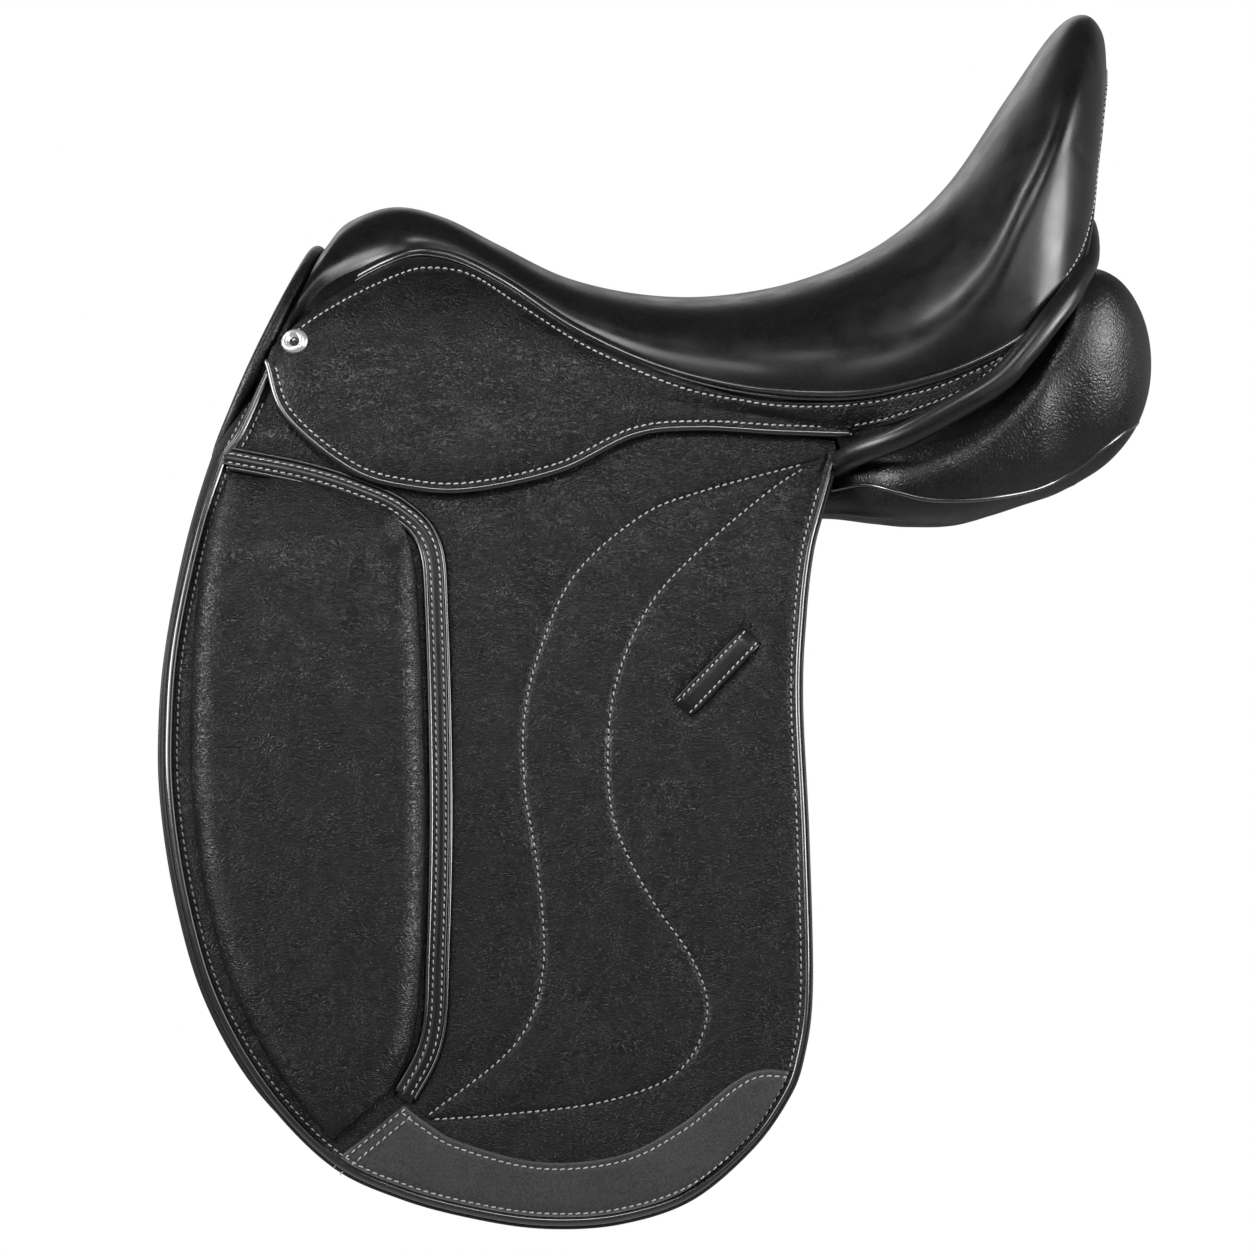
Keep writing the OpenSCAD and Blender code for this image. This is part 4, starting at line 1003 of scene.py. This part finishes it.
PANEL_SIDES = 72
fine_s = np.linspace(0, len(PANEL_ROWS) - 1, 4000)
row_x = spline(PANEL_ROWS, fine_s)[:, 0]
dome_x = PANEL_DOME + (PANEL_ROWS[-1][0] - PANEL_DOME) * np.sin(np.linspace(0, math.pi / 2, 40))
panel_x = np.concatenate([np.linspace(PANEL_ROWS[0][0], PANEL_DOME, 186)[:-1], dome_x])
panel_s = np.interp(panel_x, row_x, fine_s)[:, None]
panel_a = np.linspace(0, 2 * math.pi, PANEL_SIDES, endpoint=False)[None]
panel_rings = panel_point(panel_s, panel_a)
PANEL_SEAM = [(78.5, -51.4), (96.4, -49.3), (127.1, -57), (162.9, -55.5), (193.7, -46.7), (229.5, -21.2),
              (237, -17)]
PANEL_PIPING_R, PANEL_PIPING_IN = 1.3, 0.8
seam_xz = curve(PANEL_SEAM, 2)


def on_panel(xz, first, last):
    """The points of the left panel at each x and z, on the part of its sections from turn first to last."""
    s = np.interp(xz[:, 0], row_x, fine_s)
    rings = panel_point(s[:, None], np.linspace(first, last, 181)[None])
    found = []
    for (x, z), ring in zip(xz, rings):
        ring = ring[np.argsort(ring[:, 2])]
        z = max(z, ring[0, 2] + 0.1)
        found.append((x, np.interp(z, ring[:, 2], ring[:, 1]), z))
    return np.array(found)


for piece in pair("panel_cushion", outward(loft(panel_rings)), PANEL, stands_for=["SIDE_panel"]):
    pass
outer_seam = on_panel(seam_xz, math.pi * 0.8, math.pi * 1.5)
inner_seam = on_panel(seam_xz[::-1], math.pi * 1.5, math.pi * 2.2)
panel_seam = curve(even(np.vstack([outer_seam, inner_seam]), 8), 2) - (PANEL_PIPING_IN, 0, 0)
pair("panel_piping", tube(panel_seam, PANEL_PIPING_R, 10), BEAD)

# Rolled facings at the back and at the front
ROLL_HALF = [(64, -102, -44), (78, -111, -40), (90, -136, -33), (112, -151, -25), (140, -153, -10),
             (162, -149, 4), (175, -144, 18), (187, -136.5, 33), (199, -123, 48.5), (208.5, -95, 66),
             (210.5, -60, 81), (209.5, -22, 90)]
FRONT_HALF = [(-241, -108.3, -34), (-231.5, -101.8, -14), (-220.5, -103.5, 9.5), (-209, -94, 34),
              (-199, -74, 55), (-193, -44, 68), (-190.5, -15, 73.5)]
ROLL_R, ROLL_TIP, FRONT_ROLL_R, FRONT_ROLL_TIP = 6.5, 30, 4, 70


def both_sides(half):
    half = np.array(half, float)
    return np.vstack([half, half[::-1] * (1, -1, 1)])


def round_ends(path, radius, reach):
    """Radii along a path that close to a rounded tip at both ends."""
    run = run_along(path)
    t = np.clip(np.minimum(run, run[-1] - run) / reach, 0, 1)
    return radius * np.sqrt(np.clip(1 - (1 - t) ** 2, 0.02, 1))


roll_path, front_path = curve(both_sides(ROLL_HALF), 3), curve(both_sides(FRONT_HALF), 3)
rear_roll = tube(roll_path, round_ends(roll_path, ROLL_R, ROLL_TIP), 24)
make("rear_facing", rear_roll, TRIM, stands_for=["rear_roll"])


def band_between(high, low, depth, cols=13):
    """Thin leather between two paths of the same number of points, its back moved by depth."""
    skin = high[:, None] + (low - high)[:, None] * np.linspace(0, 1, cols)[None, :, None]
    return outward(shell(skin, skin + depth))


# Inner facings that close the saddle behind the skirt's tail and behind the front roll
TAIL_LOW = [(84, -117, -36), (112, -129, -28), (140, -131, -12), (165, -128, 3), (186, -121, 20),
            (200, -107, 42)]
tail_low = spline(TAIL_LOW, np.linspace(0, len(TAIL_LOW) - 1, 60))
tail_high = seat_point(np.linspace(7.6, 12.5, 60), -0.96, 3.0)
FACING_T = 2.0
pair("tail_facing", band_between(tail_high, tail_low, np.array((0, FACING_T, 0))), PANEL)
front_high = spline(FRONT_HALF, np.linspace(0, len(FRONT_HALF) - 1, 60))
GUSSET_REACH = (30, 9, 4)
pair("front_gusset", band_between(front_high, front_high + GUSSET_REACH, np.array((0.6, FACING_T, 0))), PANEL)
front_roll = tube(front_path, round_ends(front_path, FRONT_ROLL_R, FRONT_ROLL_TIP), 20)
make("front_facing", front_roll, PANEL, stands_for=["front_roll"])

# Linings of the channel and of the front arch
LINING_LINE = [(-112, 0), (30, 0), (165, 0), (188, 7), (200, 28), (205, 56), (206, 82)]
CHANNEL_HALF, LINING_T = 30.0, 2.4
lining_low = curve(LINING_LINE, 4)
lining_high = offset(lining_low, LINING_T)


def strip(line, half, cols=9):
    """A grid of points over an x-z line, half to each side of the middle."""
    y = np.linspace(half, -half, cols)[None]
    return np.stack(np.broadcast_arrays(line[:, :1], y, line[:, 1:]), -1)


channel = outward(shell(strip(lining_low, CHANNEL_HALF), strip(lining_high, CHANNEL_HALF)))
make("channel_lining", channel, PANEL, stands_for=["gullet_lining"])
ARCH_LINE = [(0, 90), (-19, 85.5), (-33, 73.5), (-46, 57.5), (-60, 42), (-72.4, 21.5), (-80.6, 0), (-86.5, -22),
             (-90.5, -44)]
ARCH_IN, ARCH_X, ARCH_LONG = 17.8, -143.0, 56.0


def arch_loop(d):
    half = offset(curve(ARCH_LINE, 3), d)
    half[:, 0] = np.minimum(half[:, 0], 0)
    return np.vstack([half[::-1], (half * (-1, 1))[1:]])


def arch_strip(d, cols=9):
    yz = arch_loop(d)
    x = np.linspace(ARCH_X - ARCH_LONG / 2, ARCH_X + ARCH_LONG / 2, cols)[None]
    return np.stack(np.broadcast_arrays(x, yz[:, :1], yz[:, 1:]), -1)


make("arch_lining_leather", outward(shell(arch_strip(ARCH_IN), arch_strip(ARCH_IN + LINING_T))), PANEL,
     stands_for=["arch_lining"])

# Back of the cantle, between the seat's edge and the rolled facing
BACK_S = (11.4, 12.4, 13.1, 13.5, 14, 14.5, 15)
BACK_LOW = [(183, -129.5, 31), (197, -113, 51), (204.2, -104, 60.6), (205.2, -96, 66.5), (206.5, -83, 74.5),
            (208, -66, 83), (210.2, -46, 91), (210, -30, 95), (209, -14, 96)]
back_high = np.vstack([seat_point(np.array(BACK_S), -1.0), seat_point(15.0, np.array((-0.66, -0.33)))])
back_rows, back_cols = 13, 161
high, low = (spline(both_sides(p), np.linspace(0, 2 * len(p) - 1, back_cols)) for p in (back_high, BACK_LOW))
share_down = np.linspace(0, 1, back_rows)[:, None, None]
back_skin = high[None] + (0.4, 0, -0.6) + (low - high)[None] * share_down
back_skin[..., 0] += 2.2 * np.sin(math.pi * share_down[..., 0])
back_inner = back_skin - np.array((COVER_T, 0, 0))
make("cantle_back_leather", outward(shell(back_skin, back_inner)), SEAT, stands_for=["cantle_back"])

# CAD pieces that show as they are
MIDDLE_NODES = {"tree_cantle": WOOD, "tree_head": WOOD, "head_plate": STEEL, "gullet_plate": STEEL,
                "tree_rivets": STEEL}
SIDE_NODES = {"tree_rail": WOOD, "tree_spring": STEEL, "stirrup_bar": STEEL, "bar_catch": STEEL,
              "catch_pin": STEEL}
for node, material in [*MIDDLE_NODES.items(),
                       *[(f"{side}_{n}", m) for side, _ in SIDES for n, m in SIDE_NODES.items()]]:
    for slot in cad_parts[node].material_slots:
        slot.material = material

PAPER, tree, shader, at = blank("pale_paper", 0.9, 0.2)
colour(tree, shader, noise(tree, at, 300), (0.64, 0.64, 0.64), (0.7, 0.7, 0.7))


# Stage: a pale floor below and white behind, soft lights on both sides, in front, over the seat and behind,
# in a room that is palest at the height of the eye

EYE = Vector((-0.028, -5.1, -0.122))
camera = bpy.data.objects.new("camera", bpy.data.cameras.new("camera"))
camera.data.lens, camera.data.sensor_width = 278.7, 36
camera.location, camera.rotation_euler = EYE, (math.pi / 2, 0, 0)
bpy.context.scene.collection.objects.link(camera)
bpy.context.scene.camera = camera
bpy.context.scene.view_settings.view_transform = "Standard"

BEAM = math.radians(64)


def softbox(name, at, target, wide, high, watts):
    light = bpy.data.lights.new(name, "AREA")
    light.spread = BEAM
    light.shape, light.size, light.size_y, light.energy = "RECTANGLE", wide, high, watts
    box = bpy.data.objects.new(name, light)
    box.location = at
    box.rotation_euler = (Vector(target) - Vector(at)).to_track_quat("-Z", "Y").to_euler()
    box.visible_camera = False
    bpy.context.scene.collection.objects.link(box)


softbox("left_light", (-2.4, -0.9, 0.9), (0, -0.1, 0.45), 1.6, 1.2, 12)
softbox("right_light", (2.5, -0.85, 0.4), (0, -0.1, 0.2), 1.4, 0.8, 8)
softbox("right_top_light", (2.2, -0.6, 1.3), (0, -0.1, 0.3), 1.4, 0.8, 4)
softbox("strip_light", (-1.4, -0.2, 1.75), (0.15, -0.1, 0.1), 0.4, 0.7, 1.2)
softbox("front_light", (-0.1, -2.35, 2.25), (0, -0.1, 0), 1.6, 0.6, 3.8)
softbox("front_left_light", (-1.9, -2.3, 1.0), (0, -0.1, 0), 1.4, 1.0, 2)
softbox("front_right_light", (1.9, -2.3, 1.0), (0, -0.1, 0), 1.4, 1.0, 1.5)
softbox("back_light", (-0.6, 2.3, 0.95), (0.05, 0, 0.1), 2.4, 0.7, 0.65)

world = bpy.data.worlds.new("studio")
bpy.context.scene.world = world
world.use_nodes = True
tree = world.node_tree
tree.nodes.clear()
path = tree.nodes.new("ShaderNodeLightPath")
seen = math_node(tree, "MAXIMUM", path.outputs["Is Camera Ray"], path.outputs["Is Transmission Ray"])
way = add(tree, "ShaderNodeSeparateXYZ", {0: add(tree, "ShaderNodeTexCoord").outputs["Generated"]}).outputs["Z"]
glow = ranged(tree, math_node(tree, "ABSOLUTE", way, 0.0), 0.05, 0.6, 0.26, 0.04)
level = math_node(tree, "MAXIMUM", glow, seen)
sky = add(tree, "ShaderNodeBackground", {"Color": (1, 1, 1, 1), "Strength": level})
add(tree, "ShaderNodeOutputWorld", {"Surface": sky.outputs[0]})

FLOOR_Z = -0.75
floor_mesh = bpy.data.meshes.new("floor")
corners = [(-4, -4), (4, -4), (4, 3), (-4, 3)]
floor_mesh.from_pydata([(x, y, FLOOR_Z) for x, y in corners], [], [(0, 1, 2, 3)])
floor_mesh.materials.append(PAPER)
floor = bpy.data.objects.new("floor", floor_mesh)
bpy.context.scene.collection.objects.link(floor)
